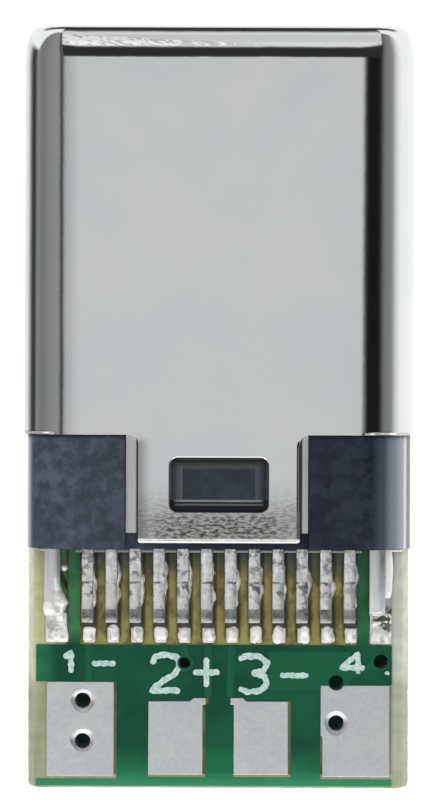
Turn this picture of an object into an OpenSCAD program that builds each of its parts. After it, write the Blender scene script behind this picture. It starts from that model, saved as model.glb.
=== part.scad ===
// Straight plug of a reversible 24-contact connector, soldered to the edge of a board with four wire pads.
// Millimetres. The plug mouth faces +Y, the wire pads face +Z, and the underside of the plug lies at z = 0.

/* [Plug shell] */
// Width over the rounded sides
shell_w = 8.25; // [8.05:0.05:8.8]
// Height over the flat faces
shell_h = 2.4; // [2.3:0.05:2.7]
// Length of the tube without its tongues
shell_len = 8.56; // [7.6:0.02:10]
// Thickness of the drawn sheet
shell_wall = 0.25; // [0.2:0.01:0.3]
// Length of the rounded front lip
lip_len = 0.73; // [0.55:0.01:0.75]
// How far the lip draws in, measured from the face of the tube
lip_depth = 0.44; // [0.42:0.01:0.5]
// Outside radius of the lip at its front
lip_tip_r = 0.32; // [0.31:0.01:0.36]
// Metal left on each side of the mouth punched in the front
mouth_side = 0.625; // [0.6:0.005:0.65]
// Height of the mouth
mouth_h = 1.25; // [1.1:0.05:1.4]
// Width of the tongues behind the tube
tongue_w = 3.36; // [3:0.05:3.6]
// Length of the tongues
tongue_len = 2.25; // [2:0.05:2.6]
// Rounding of the two free corners of a tongue
tongue_tip_r = 0.06; // [0.02:0.01:0.2]
// Width of the window in a tongue
window_w = 2.06; // [1.8:0.01:2.4]
// Length of the window
window_len = 1.13; // [0.9:0.01:1.25]
// Corner radius of the window
window_r = 0.17; // [0.1:0.01:0.3]
// Metal left behind the window
window_back = 0.64; // [0.4:0.01:0.8]

/* [Mouldings] */
// Clearance between a moulding and the shell around it
moulding_fit = 0.03; // [0.01:0.005:0.05]
// How far the block behind the tube lies inside the face of the shell
block_step = 0.075; // [0.03:0.005:0.12]
// Plastic behind the end of the tongues
block_heel = 0.14; // [0.05:0.01:0.3]
// Free width on each side of a tongue in its recess
tongue_play = 0.24; // [0.15:0.01:0.4]
// Sideways place of the recess
recess_x = -0.04; // [-0.1:0.01:0.1]
// How far the carriers reach into the tube
core_len = 1; // [0.6:0.1:1.5]
// How far the sides of the mating slot lie inside the mouth
slot_inset = 0.1; // [0:0.01:0.2]
// Height of the mating slot
slot_h = 1; // [0.9:0.02:1.1]
// Depth of the mating slot
slot_depth = 5.6; // [4.5:0.1:6.2]
// Depth of the wider entrance of the slot
entrance_depth = 1.3; // [0.9:0.05:1.5]
// Clearance of a catch in its window, in front and on both sides
catch_play = 0.05; // [0.03:0.01:0.12]
// Clearance behind a catch
catch_back_play = 0.12; // [0.03:0.01:0.15]
// Slope of a catch on its left and right, measured sideways
catch_side_slope = 0.22; // [0.1:0.01:0.4]
// Slope of a catch at its front and back, measured lengthways
catch_end_slope = 0.13; // [0.1:0.01:0.25]
// Depth of the top of a catch below the face of the shell
catch_sink = 0.05; // [0.02:0.01:0.1]
// Length of the comb that steadies the tails behind the block
comb_len = 0.08; // [0.05:0.01:0.15]

/* [Contacts] */
// Contacts in one row
contact_count = 12; // [6:1:12]
// Distance between contacts
pitch = 0.5; // [0.4:0.01:0.52]
// Width of a tail
contact_w = 0.25; // [0.22:0.01:0.28]
// Thickness of the contact strip
contact_t = 0.12; // [0.1:0.01:0.14]
// Width of the spring beam in the slot
beam_w = 0.2; // [0.16:0.01:0.21]
// Clearance on each side of a beam in its groove
groove_play = 0.04; // [0.02:0.01:0.08]
// Depth of a straight beam behind the wall of the slot
beam_inset = 0.05; // [0.02:0.01:0.07]
// Free space between two facing elbows
elbow_opening = 0.6; // [0.5:0.02:0.68]
// Distance of the elbows behind the front of the plug
elbow_back = 2.6; // [2.5:0.05:3]
// Half the length of an elbow
elbow_half = 0.14; // [0.1:0.01:0.16]
// Height of the rounded back of an elbow, half that of its front
elbow_rise = 0.014; // [0.005:0.001:0.03]
// Sloping length of a beam behind its elbow
beam_run = 2.6; // [2:0.1:2.8]
// Length of the upturned end in front of an elbow
nib_len = 0.42; // [0.3:0.02:0.46]
// Length of a tail behind the block
tail_len = 1.53; // [1.3:0.01:1.8]
// Distance behind the block at which a tail meets its pad
tail_drop = 0.7; // [0.4:0.05:0.9]
// Length of the upturned tip of a tail
tip_len = 0.22; // [0.15:0.01:0.35]
// Height of the upturned tip
tip_rise = 0.05; // [0.02:0.01:0.1]

/* [Latch plate] */
// Thickness of the plate
latch_t = 0.2; // [0.15:0.01:0.24]
// Width of a latch arm
arm_w = 0.2; // [0.15:0.01:0.24]
// Distance of an arm behind the side wall of the slot
arm_play = 0.05; // [0.02:0.01:0.08]
// Reach of a hook into the slot
hook_reach = 0.3; // [0.2:0.02:0.4]
// Reach of the sloping front of a hook
hook_front_reach = 0.12; // [0.05:0.01:0.18]
// Distance of the hooks behind the front of the plug
hook_back = 2.1; // [1.9:0.05:2.6]
// Length of a hook behind its sloping front
hook_len = 0.34; // [0.2:0.02:0.4]
// Length of each slope of a hook
hook_slope = 0.16; // [0.1:0.01:0.2]
// Length of the crossbar between the arms
bar_len = 0.7; // [0.4:0.05:0.8]
// Distance of the crossbar in front of the board
bar_place = 1.05; // [1:0.05:1.15]
// Width of a leg
leg_w = 0.33; // [0.25:0.01:0.4]
// Distance from the outermost contact to the leg beside it
leg_step = 0.66; // [0.62:0.01:0.7]
// Sideways place of both legs against the contact rows
leg_shift = -0.08; // [-0.1:0.01:0.04]
// Length of a leg behind the block
leg_len = 1.36; // [1:0.05:1.6]
// Level length of a leg inside the block
leg_inside = 0.25; // [0.1:0.05:0.3]
// Length over which a leg comes down to the plate
leg_run = 0.5; // [0.3:0.05:0.6]

/* [Ground springs] */
// Thickness of a ground spring
spring_t = 0.1; // [0.08:0.01:0.12]
// Clearance above and below a ground spring
spring_fit = 0.01; // [0.005:0.005:0.02]
// Clearance beside a ground spring
spring_side_fit = 0.02; // [0.01:0.01:0.04]
// How far a spring ends in front of the end of a tongue
spring_setback = 0.2; // [0.05:0.01:0.4]
// Distance from the front of the plug to the root of the fingers
finger_back = 1.95; // [1.9:0.01:2]
// Fingers on one spring
finger_count = 4; // [3:1:5]
// Slit between two fingers
finger_slit = 0.3; // [0.2:0.02:0.4]
// Length of a finger
finger_len = 1.05; // [0.8:0.05:1.1]
// Length of the upturned end of a finger
finger_tip = 0.21; // [0.15:0.01:0.25]
// Reach of a finger into the entrance of the slot
finger_reach = 0.05; // [0.02:0.01:0.1]

/* [Board] */
// Width over the scored edges
board_w = 8.04; // [7.9:0.02:8.1]
// Length behind the plug
board_len = 5.05; // [4.8:0.05:7]
// Thickness of the laminate
board_t = 0.8; // [0.6:0.05:1]
// Depth of the score on each face
score_depth = 0.26; // [0.1:0.02:0.28]
// Width of the scored bevel seen from above
score_run = 0.14; // [0.05:0.01:0.16]
// Radius of the two corners at the end of the board
corner_r = 0.1; // [0.02:0.01:0.2]

/* [Pads] */
// Thickness of the tinned copper
pad_t = 0.05; // [0.04:0.005:0.06]
// Distance from the board end to the two outer wire pads
pad_margin = 0.25; // [0.1:0.01:0.4]
// Width of the two outer wire pads
power_pad_w = 1.41; // [1.1:0.01:1.5]
// Length of the two outer wire pads
power_pad_len = 1.92; // [1.6:0.01:2.1]
// Distance from the side of the board to an outer wire pad
pad_side = 0.415; // [0.3:0.005:0.6]
// Extra length of the minus pad, at its front
minus_extra = 0.06; // [0:0.01:0.1]
// Extra width of the front of the plus pad, on its inner side
plus_step = 0.04; // [0.01:0.01:0.1]
// Length of that wider front
plus_step_len = 1.05; // [0.4:0.05:1.3]
// Distance from the board end to the two inner wire pads
data_margin = 0.29; // [0.1:0.01:0.4]
// Width of the two inner wire pads
data_pad_w = 1.14; // [0.8:0.01:1.3]
// Length of the two inner wire pads
data_pad_len = 1.54; // [1:0.01:1.8]
// Distance of the inner wire pads from the middle
data_pad_x = 0.9; // [0.8:0.01:1]
// Width of the track end at the inner corner of an inner pad
tab_w = 0.26; // [0.15:0.01:0.3]
// Reach of that track end beyond the pad
tab_len = 0.07; // [0.04:0.01:0.1]
// Width of a contact pad
contact_pad_w = 0.26; // [0.22:0.01:0.3]
// Distance from the block to the far end of the contact pads
contact_pad_len = 1.99; // [1.9:0.01:2.1]
// Sideways place of the contact pads against the contacts
contact_pad_x = 0.04; // [-0.06:0.01:0.06]
// Width of a shield pad
shield_pad_w = 0.46; // [0.4:0.01:0.5]

/* [Solder] */
// Height of the solder behind a contact tip or a leg
solder_rise = 0.03; // [0.01:0.01:0.06]
// Length of the sloping ends of the solder behind a tip
solder_slope = 0.07; // [0.03:0.01:0.08]
// Length of the solder beside a leg
leg_solder_len = 0.82; // [0.4:0.02:0.9]
// Height of the solder against a leg
leg_solder_h = 0.16; // [0.08:0.01:0.18]
// Length of each of the two slopes of the solder behind a leg
leg_toe = 0.29; // [0.2:0.01:0.3]

/* [Solder mask] */
// Thickness of the lacquer
mask_t = 0.03; // [0.02:0.005:0.035]
// Extra height where copper runs below
copper_rise = 0.012; // [0.005:0.001:0.02]
// Bare laminate along the sides of the board, inside the score
mask_edge = 0.1; // [0.04:0.01:0.15]
// Bare laminate at the end of the board
mask_end = 0.05; // [0.02:0.01:0.15]
// Bare laminate around a pad
mask_play = 0.045; // [0.03:0.005:0.08]
// How far the openings of the lacquer lie off their pads, to the right and towards the board end
mask_shift = 0.02; // [0:0.005:0.025]
// Width of a track
track_w = 0.17; // [0.12:0.01:0.22]
// Sideways place of the minus track beside its holes
minus_track_x = 0.12; // [0:0.01:0.3]
// Copper around the front hole of the plus pad, sideways
pour_side = 0.3; // [0.2:0.01:0.4]
// Bare strip between the copper area and the front of the lacquer
pour_front = 0.13; // [0.05:0.01:0.2]
// Drop of the sense track on the underside before it turns
sense_drop = 0.2; // [0.1:0.01:0.3]

/* [Plated holes] */
// Radius of the open hole
via_r = 0.155; // [0.1:0.005:0.18]
// Radius of the smaller open hole
small_via_r = 0.12; // [0.08:0.005:0.15]
// Thickness of the plating
via_wall = 0.025; // [0.015:0.005:0.03]
// Distance between the two holes at an outer pad
via_gap = 0.85; // [0.6:0.01:1]
// Sideways place of the minus holes from the middle of their pad
minus_via_x = 0.05; // [-0.2:0.01:0.2]
// Distance of the first minus hole from the front of its pad
minus_via_back = 0.33; // [0.25:0.01:0.5]
// Sideways place of the plus holes from the middle of their pad
plus_via_x = -0.42; // [-0.45:0.01:-0.3]
// Distance of the first plus hole in front of its pad
plus_via_front = 0.06; // [0:0.01:0.07]
// Sideways place of the outer hole from the middle of the plus pad
outer_via_x = 0.52; // [0.3:0.01:0.55]
// Distance of the outer hole from the front of the lacquer
outer_via_back = 0.34; // [0.25:0.01:0.36]
// Contact whose track ends at the small hole
sense_contact = 5; // [3:1:5]
// Distance of the small hole from the front of the lacquer
small_via_back = 0.38; // [0.25:0.01:0.5]

/* [Chip resistor] */
// Length over the end caps
chip_len = 1; // [0.8:0.02:1.2]
// Width over the end caps
chip_w = 0.5; // [0.4:0.02:0.6]
// Height over the end caps
chip_h = 0.35; // [0.3:0.01:0.4]
// Length of an end cap
cap_len = 0.22; // [0.15:0.01:0.3]
// Thickness of an end cap
cap_t = 0.025; // [0.015:0.005:0.04]
// Length of the solder fillet at an end cap
chip_fillet = 0.16; // [0.08:0.01:0.2]
// Height of the solder fillet
chip_fillet_h = 0.26; // [0.1:0.01:0.3]
// Sideways place of the resistor
chip_x = 0.35; // [0:0.05:0.6]
// Distance of the resistor from the board end
chip_y = 2.1; // [1.8:0.05:2.2]

/* [Hidden] */
$fn = 64;
e = 0.02;
far = shell_w + shell_len;
block_len = tongue_len + block_heel;
front_y = (shell_len + block_len + board_len) / 2;
tube_y = front_y - shell_len;
tongue_y = tube_y - tongue_len;
block_y = tube_y - block_len;
end_y = block_y - board_len;
core_y = tube_y + core_len;
nose_y = front_y - shell_wall - moulding_fit;
middle_z = shell_h / 2;

lip_rest = lip_len - lip_tip_r;
lip_back_r = (pow(lip_rest, 2) + pow(lip_depth, 2) - pow(lip_tip_r, 2)) / (2 * (lip_depth - lip_tip_r));
lip_turn = asin(lip_rest / (lip_back_r - lip_tip_r));
mouth_w = shell_w - 2 * mouth_side;
slot_w = mouth_w - 2 * slot_inset;
inner_w = shell_w - 2 * shell_wall;
inner_h = shell_h - 2 * shell_wall;
block_w = shell_w - 2 * block_step;
block_h = shell_h - 2 * block_step;
core_w = inner_w - 2 * moulding_fit;
core_h = inner_h - 2 * moulding_fit;
spring_top = inner_h / 2 - spring_fit;
spring_z = spring_top - spring_t / 2;
recess_floor = spring_top - spring_t - spring_fit;
recess_w = tongue_w + 2 * tongue_play;
tongue_root_r = tongue_play - abs(recess_x) - spring_side_fit / 2;
spring_w = recess_w - 2 * spring_side_fit;
spring_y = tongue_y + spring_setback;
finger_y = front_y - finger_back;
finger_w = spring_w / finger_count - finger_slit;
window_y = tongue_y + window_back;

row_half = (contact_count - 1) / 2 * pitch;
face_z = board_t / 2;
pad_z = face_z + pad_t;
tail_z = pad_z + contact_t / 2;
beam_z = slot_h / 2 + beam_inset + contact_t / 2;
elbow_z = elbow_opening / 2 + contact_t / 2;
elbow_y = front_y - elbow_back;
groove_top = beam_z + contact_t / 2 + groove_play;
groove_end = elbow_y + elbow_half + nib_len + groove_play;
contact_path = [
    [block_y - tail_len, tail_z + tip_rise],
    [block_y - tail_len + tip_len, tail_z],
    [block_y - tail_drop, tail_z],
    [block_y - comb_len, beam_z],
    [elbow_y - beam_run, beam_z],
    [elbow_y - elbow_half, elbow_z + elbow_rise],
    [elbow_y, elbow_z],
    [elbow_y + elbow_half, elbow_z + 2 * elbow_rise],
    [elbow_y + nib_len, beam_z - beam_inset]
];

arm_in = slot_w / 2 + arm_play;
arm_out = arm_in + arm_w;
bar_y = block_y + bar_place;
hook_y = front_y - hook_back;
hook_end = hook_y + hook_len + hook_slope;
latch_pocket = latch_t / 2 + spring_fit;
leg_x = row_half + leg_step;
leg_z = pad_z + latch_t / 2;
bar_half = max(arm_out, leg_x + abs(leg_shift) + leg_w / 2);
leg_path = [
    [block_y - leg_len, leg_z],
    [block_y + leg_inside, leg_z],
    [block_y + leg_inside + leg_run, 0],
    [bar_y + bar_len / 2, 0]
];

mask_w = board_w - 2 * score_run - 2 * mask_edge;
mask_front = block_y - contact_pad_len - mask_play;
bare_x = row_half + contact_pad_w / 2 + mask_play;
shield_in = leg_x - shield_pad_w / 2 - mask_play;
power_pad_x = board_w / 2 - pad_side - power_pad_w / 2;
pad_end = end_y + pad_margin;
power_front = pad_end + power_pad_len;
data_end = end_y + data_margin;
data_front = data_end + data_pad_len;
minus_vias = [for (k = [0, 1]) [minus_via_x - power_pad_x, power_front - minus_via_back - k * via_gap]];
plus_vias = [for (k = [0, 1]) [power_pad_x + plus_via_x, power_front + plus_via_front - k * via_gap]];
outer_via = [power_pad_x + outer_via_x, mask_front - outer_via_back];
sense_via = [contact_x(sense_contact) + contact_pad_x, mask_front - small_via_back];
vias = concat([for (v = concat(minus_vias, plus_vias, [outer_via])) [v, via_r]], [[sense_via, small_via_r]]);
chip_base = cap_len / 2;
chip_pad = cap_len + chip_fillet + chip_base;

// Direction from a to b
function toward(a, b) = (b - a) / norm(b - a);
// Left-hand normal of a direction
function normal(d) = [-d[1], d[0]];
// Point i of a path, moved sideways by d and mitred where the path bends
function beside(path, i, d) =
    let (last = len(path) - 1,
         a = normal(i == 0 ? toward(path[0], path[1]) : toward(path[i - 1], path[i])),
         b = normal(i == last ? toward(path[last - 1], path[last]) : toward(path[i], path[i + 1])))
    path[i] + (a + b) * d / (1 + a * b);
// Outline of a bent strip seen from its side
function strip(path, t) = concat(
    [for (i = [0 : len(path) - 1]) beside(path, i, t / 2)],
    [for (i = [len(path) - 1 : -1 : 0]) beside(path, i, -t / 2)]);
// Place of contact i across the row
function contact_x(i) = (i - 1) * pitch - row_half;
// Place of spring finger k across the plug
function finger_x(k) = recess_x + (k - (finger_count + 1) / 2) * spring_w / finger_count;

// Raises a piece so that the underside of the plug is at z = 0
module raised() translate([0, 0, middle_z]) children();

// Block between two corners
module slab(low, high) translate(low) cube(high - low);

// Outline of a bent strip, extruded to a width about x = 0
module bent_strip(path, t, w) translate([-w / 2, 0, 0]) rotate([90, 0, 90])
    linear_extrude(w) polygon(strip(path, t));

// Half outline of a drawn tube: its radius against its length. The front is the lip of the tube, or a surface
// that lies inside it by lip_inset, and is made of two arcs; without lip_inset it is square.
module half_outline(radius, length, lip_inset) {
    if (is_undef(lip_inset)) square([radius, length]);
    else {
        back_r = lip_back_r - lip_inset;
        tip_r = lip_tip_r - lip_inset;
        start = length - lip_len + lip_inset;
        join = back_r * sin(lip_turn);
        square([radius, start]);
        intersection() {
            translate([radius - back_r, start]) circle(back_r);
            translate([0, start - e]) square([radius, join + e]);
        }
        square([radius - lip_depth + lip_inset, length]);
        intersection() {
            translate([radius - lip_depth + lip_inset, length - tip_r]) circle(tip_r);
            translate([0, start + join]) square([radius, back_r]);
        }
    }
}

// Body with flat faces and round sides, from y = start to y = stop
module drawn_body(w, h, start, stop, lip_inset) translate([0, start, 0]) {
    flat = w - h;
    rotate([0, 90, 0]) linear_extrude(flat, center = true) {
        half_outline(h / 2, stop - start, lip_inset);
        mirror([1, 0]) half_outline(h / 2, stop - start, lip_inset);
    }
    for (s = [0, 1]) mirror([s, 0, 0]) translate([flat / 2, 0, 0])
        rotate([-90, 0, 0]) rotate([0, 0, -90]) rotate_extrude(angle = 180)
            half_outline(h / 2, stop - start, lip_inset);
}

// Rectangle with round corners
module round_rect(low, high, r) {
    translate([low[0] + r, low[1]]) square([high[0] - low[0] - 2 * r, high[1] - low[1]]);
    translate([low[0], low[1] + r]) square([high[0] - low[0], high[1] - low[1] - 2 * r]);
    for (x = [low[0] + r, high[0] - r], y = [low[1] + r, high[1] - r]) translate([x, y]) circle(r);
}

// Drawn tube with a rounded lip, a punched mouth and a tongue with a window above and below
module plug_shell() color("silver") difference() {
    drawn_body(shell_w, shell_h, tongue_y, front_y, 0);
    drawn_body(inner_w, inner_h, tongue_y - shell_wall, front_y - shell_wall, shell_wall);
    drawn_body(mouth_w, mouth_h, front_y - 2 * shell_wall, front_y + shell_wall);
    for (s = [0, 1]) mirror([s, 0, 0]) translate([0, 0, -shell_h]) linear_extrude(2 * shell_h) {
        round_rect([tongue_w / 2, tongue_y - far], [tongue_w / 2 + far, tube_y], tongue_root_r);
        translate([tongue_w / 2 + tongue_root_r, tongue_y - far]) square(far + tongue_len);
        difference() {
            translate([tongue_w / 2 - tongue_tip_r, tongue_y - e]) square(tongue_tip_r + e);
            translate([tongue_w / 2 - tongue_tip_r, tongue_y + tongue_tip_r]) circle(tongue_tip_r);
        }
    }
    translate([0, 0, -shell_h]) linear_extrude(2 * shell_h)
        round_rect([-window_w / 2, window_y], [window_w / 2, window_y + window_len], window_r);
}

// Space that a ground spring and a tongue take in the mouldings, from the back of the block to the fingers
module spring_recess() {
    slab([recess_x - recess_w / 2, block_y - far, recess_floor],
         [recess_x + recess_w / 2, finger_y + spring_side_fit, shell_h]);
}

// Space for the arms of the latch plate beside the slot
module arm_channel() for (s = [0, 1]) mirror([s, 0, 0])
    slab([slot_w / 2 - e, core_y - e, -latch_t / 2 - groove_play],
         [shell_w, hook_end + groove_play, latch_t / 2 + groove_play]);

// Lining of the plug: mating slot, contact grooves, and openings for the latch arms and the spring fingers
module nose_moulding() color("dimgray") difference() {
    drawn_body(core_w, core_h, core_y, nose_y, shell_wall);
    slab([-slot_w / 2, nose_y - slot_depth, -slot_h / 2], [slot_w / 2, front_y, slot_h / 2]);
    slab([-slot_w / 2, nose_y - entrance_depth, -mouth_h / 2], [slot_w / 2, front_y, mouth_h / 2]);
    arm_channel();
    for (s = [0, 1]) mirror([0, 0, s]) {
        spring_recess();
        for (i = [1 : contact_count]) translate([contact_x(i), 0, 0])
            slab([-beam_w / 2 - groove_play, core_y - e, beam_z - contact_t / 2 - groove_play],
                 [beam_w / 2 + groove_play, groove_end, groove_top]);
        for (i = [1 : contact_count]) translate([contact_x(i), 0, 0])
            slab([-beam_w / 2 - groove_play, nose_y - slot_depth, 0],
                 [beam_w / 2 + groove_play, groove_end, beam_z]);
        for (k = [1 : finger_count]) translate([finger_x(k), 0, 0])
            slab([-finger_w / 2 - groove_play, finger_y - groove_play, 0],
                 [finger_w / 2 + groove_play, finger_y + finger_len + groove_play, shell_h]);
    }
}

// Room for the two latch legs, from the crossbar to behind the block
module leg_channels(top) for (s = [-1, 1]) translate([s * leg_x + leg_shift, 0, 0])
    slab([-leg_w / 2 - moulding_fit, block_y - far, -e], [leg_w / 2 + moulding_fit, bar_y, top]);

// Half of the rear moulding without what is particular to the upper half
module carrier() {
    base = [window_w / 2 - catch_play, (window_len - catch_play - catch_back_play) / 2];
    top_z = shell_h / 2 - catch_sink;
    difference() {
        union() {
            drawn_body(block_w, block_h, block_y, tube_y);
            drawn_body(core_w, core_h, tube_y - e, core_y);
            slab([-row_half - contact_w, block_y - comb_len, pad_z + moulding_fit],
                 [row_half + contact_w, block_y + e, beam_z + contact_t / 2]);
        }
        slab([-far, -far, -far], [far, far, 0]);
        spring_recess();
        for (i = [1 : contact_count]) translate([contact_x(i), 0, 0])
            slab([-contact_w / 2, -far, beam_z - contact_t / 2],
                 [contact_w / 2, far, beam_z + contact_t / 2]);
        for (s = [0, 1]) mirror([s, 0, 0]) {
            slab([arm_in - moulding_fit, bar_y - moulding_fit, -e],
                 [arm_out + moulding_fit, far, latch_pocket]);
        }
        leg_channels(latch_pocket);
        slab([-bar_half - moulding_fit, bar_y - moulding_fit, -e],
             [bar_half + moulding_fit, bar_y + bar_len + moulding_fit, latch_pocket]);
    }
    // catch in the window of the tongue
    translate([0, window_y + catch_back_play + base[1], 0]) intersection() {
        rotate([90, 0, 0]) linear_extrude(2 * base[1], center = true) polygon([
            [-base[0], recess_floor - e], [base[0], recess_floor - e], [base[0], recess_floor],
            [base[0] - catch_side_slope, top_z], [-base[0] + catch_side_slope, top_z],
            [-base[0], recess_floor]]);
        rotate([90, 0, 90]) linear_extrude(2 * base[0], center = true) polygon([
            [-base[1], recess_floor - e], [base[1], recess_floor - e], [base[1], recess_floor],
            [base[1] - catch_end_slope, top_z], [-base[1] + catch_end_slope, top_z],
            [-base[1], recess_floor]]);
    }
}

// Upper half of the rear moulding, with channels in which the latch legs rise to the board
module upper_carrier() color("dimgray") difference() {
    carrier();
    leg_channels(leg_z + latch_t / 2 + moulding_fit);
}

// Lower half of the rear moulding
module lower_carrier() color("dimgray") mirror([0, 0, 1]) carrier();

// Stamped contact: tail on the board, straight in the carrier, spring beam with an elbow in the slot
module contact(i) color("gainsboro") translate([contact_x(i), 0, 0]) difference() {
    bent_strip(contact_path, contact_t, contact_w);
    for (s = [0, 1]) mirror([s, 0, 0]) slab([beam_w / 2, core_y, -shell_h], [contact_w, front_y, shell_h]);
}

// Plate between the carriers: crossbar, two arms with hooks beside the slot, two legs that rise to the board
module latch_plate() color("lightgray") {
    translate([0, 0, -latch_t / 2]) linear_extrude(latch_t) {
        translate([-bar_half, bar_y]) square([2 * bar_half, bar_len]);
        for (s = [0, 1]) mirror([s, 0]) polygon([
            [arm_out, bar_y], [arm_out, hook_end], [arm_in - hook_front_reach, hook_end],
            [arm_in - hook_reach, hook_y + hook_len], [arm_in - hook_reach, hook_y + hook_slope],
            [arm_in, hook_y - hook_slope], [arm_in, bar_y]]);
    }
    for (s = [-1, 1]) translate([s * leg_x + leg_shift, 0, 0]) bent_strip(leg_path, latch_t, leg_w);
}

// Thin plate under a tongue, with fingers that bend into the entrance of the slot
module ground_spring() color("lightgray") {
    low_z = mouth_h / 2 - finger_reach + spring_t / 2;
    hole = [window_w / 2, window_len / 2];
    translate([0, 0, spring_z - spring_t / 2]) linear_extrude(spring_t) difference() {
        translate([recess_x - spring_w / 2, spring_y]) square([spring_w, finger_y - spring_y]);
        translate([-hole[0], window_y]) square(2 * hole);
    }
    for (k = [1 : finger_count]) translate([finger_x(k), 0, 0]) bent_strip([
        [finger_y - spring_t, spring_z], [finger_y, spring_z],
        [finger_y + finger_len - finger_tip, low_z], [finger_y + finger_len, low_z + spring_t]],
        spring_t, finger_w);
}

// All plated holes as columns, each wider than its open hole by grow
module via_columns(grow) for (v = vias)
    translate([v[0][0], v[0][1], -board_t]) cylinder(h = 2 * board_t, r = v[1] + grow);

// Laminate core with scored sides
module circuit_board() color("darkkhaki") difference() {
    top = board_w / 2 - score_run;
    rim = face_z - score_depth;
    translate([0, block_y, 0]) rotate([90, 0, 0]) linear_extrude(board_len) polygon([
        [-top, face_z], [top, face_z], [board_w / 2, rim], [board_w / 2, -rim],
        [top, -face_z], [-top, -face_z], [-board_w / 2, -rim], [-board_w / 2, rim]]);
    via_columns(via_wall);
    // round corners at the end of the board
    for (s = [0, 1]) mirror([s, 0, 0]) translate([board_w / 2 - corner_r, end_y + corner_r, -board_t])
        linear_extrude(2 * board_t) difference() {
            translate([0, -far]) square(far);
            circle(corner_r);
        }
}

// Outlines of the wire pads, grown on every side
module power_outline(s, grow) {
    translate([s * power_pad_x - power_pad_w / 2 - grow, pad_end - grow])
        square([power_pad_w + 2 * grow, power_pad_len + (s < 0 ? minus_extra : 0) + 2 * grow]);
    if (s > 0)
        translate([power_pad_x - power_pad_w / 2 - plus_step - grow, power_front - plus_step_len - grow])
            square([power_pad_w + plus_step, plus_step_len + 2 * grow]);
}
module data_outline(s, grow) {
    translate([s * data_pad_x - data_pad_w / 2 - grow, data_end - grow])
        square([data_pad_w + 2 * grow, data_pad_len + 2 * grow]);
    // start of the track at the inner corner
    tab = [[-tab_w - grow, -e], [tab_len + grow, -tab_len - grow], [tab_len + grow, tab_len + grow],
           [tab_len - tab_w - grow, tab_len + grow]];
    translate([s * (data_pad_x - data_pad_w / 2), data_front])
        polygon([for (i = [0 : 3]) s < 0 ? tab[i] : [-tab[3 - i][0], tab[3 - i][1]]]);
}

// Wire pad of tinned copper
module wire_pad() color("gainsboro") difference() {
    translate([0, 0, face_z]) linear_extrude(pad_t) children();
    via_columns(via_wall);
}

// Row of twelve narrow pads under the tails
module contact_pads() color("gainsboro") for (i = [1 : contact_count])
    translate([contact_x(i) + contact_pad_x, 0, 0])
        slab([-contact_pad_w / 2, block_y - contact_pad_len, face_z],
             [contact_pad_w / 2, block_y - e, pad_z]);

// Two pads under the legs
module shield_pads() color("gainsboro") for (s = [-1, 1]) translate([s * leg_x, 0, 0])
    slab([-shield_pad_w / 2, block_y - contact_pad_len, face_z], [shield_pad_w / 2, block_y - e, pad_z]);

// Plating of the holes, from the lower face to the top of the upper lacquer
module plated_holes() color("lightgray") for (v = vias) translate([v[0][0], v[0][1], -face_z]) difference() {
    cylinder(h = board_t + mask_t, r = v[1] + via_wall);
    cylinder(h = 3 * board_t, r = v[1], center = true);
}

// Lacquered area common to both faces: all of the board but its rim, the contact row and the shield pads
module mask_area() difference() {
    translate([-mask_w / 2, end_y + mask_end]) square([mask_w, board_len - mask_end]);
    translate([-bare_x, mask_front]) square([2 * bare_x, far]);
    for (s = [0, 1]) mirror([s, 0]) translate([shield_in, mask_front]) square(far);
}

// Straight track between two points
module track(a, b, w = track_w) {
    turn = atan2(b[1] - a[1], b[0] - a[0]);
    translate(a) rotate(turn) translate([0, -w / 2]) square([norm(b - a), w]);
    for (p = [a, b]) translate(p) circle(w / 2);
}

// Copper below the upper mask
module upper_copper() {
    join_y = mask_front + track_w;
    tab_y = data_front + tab_len;
    pour_x = 2 * pitch;
    pour_y = power_front - track_w;
    track([contact_x(1) + contact_pad_x, join_y], [minus_vias[0][0] + minus_track_x, power_front]);
    track([sense_via[0], join_y], sense_via);
    track([-pitch / 2 + contact_pad_x, join_y], [-pitch / 2 + contact_pad_x, tab_y]);
    track([pitch / 2 + contact_pad_x, join_y], [pitch / 2, tab_y]);
    translate([pour_x, pour_y])
        square([plus_vias[0][0] + pour_side - pour_x, mask_front - pour_front - pour_y]);
    track(plus_vias[0], outer_via);
}

// Green lacquer on the upper face, open around the wire pads
module upper_mask() color("seagreen") translate([0, 0, face_z]) for (h = [mask_t, mask_t + copper_rise])
    linear_extrude(h) difference() {
        intersection() {
            mask_area();
            if (h > mask_t) upper_copper(); else square(4 * far, center = true);
        }
        translate([mask_shift, -mask_shift]) {
            for (s = [-1, 1]) {
                power_outline(s, mask_play);
                data_outline(s, mask_play);
            }
            // no lacquer between an outer pad and the side of the board
            for (s = [0, 1]) mirror([s, 0]) translate([power_pad_x, pad_end - mask_play])
                square([far, power_pad_len + s * minus_extra + 2 * mask_play]);
        }
        for (v = vias) translate(v[0]) circle(v[1] + via_wall);
    }

// Outline of the pads under the resistor, grown on every side
module resistor_outline(grow) for (s = [-1, 1])
    translate([chip_x + s * (chip_len / 2 + chip_fillet - chip_pad / 2), end_y + chip_y])
        square([chip_pad + 2 * grow, chip_w + 2 * grow], center = true);

// Copper below the lower mask
module lower_copper() {
    join_y = mask_front + track_w;
    chip_ends = [for (s = [-1, 1]) [chip_x + s * chip_len / 2, end_y + chip_y]];
    sense_turn = [chip_ends[0][0], sense_via[1] - sense_drop];
    track(sense_via, sense_turn);
    track(sense_turn, chip_ends[0]);
    track(chip_ends[1], plus_vias[0], 2 * track_w);
    track(plus_vias[0], plus_vias[1], 2 * track_w);
    track([contact_x(contact_count - 2) + contact_pad_x, join_y], plus_vias[0], 2 * track_w);
    track(minus_vias[0], minus_vias[1], 2 * track_w);
    track([contact_x(1) + contact_pad_x, join_y], minus_vias[0], 2 * track_w);
}

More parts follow.
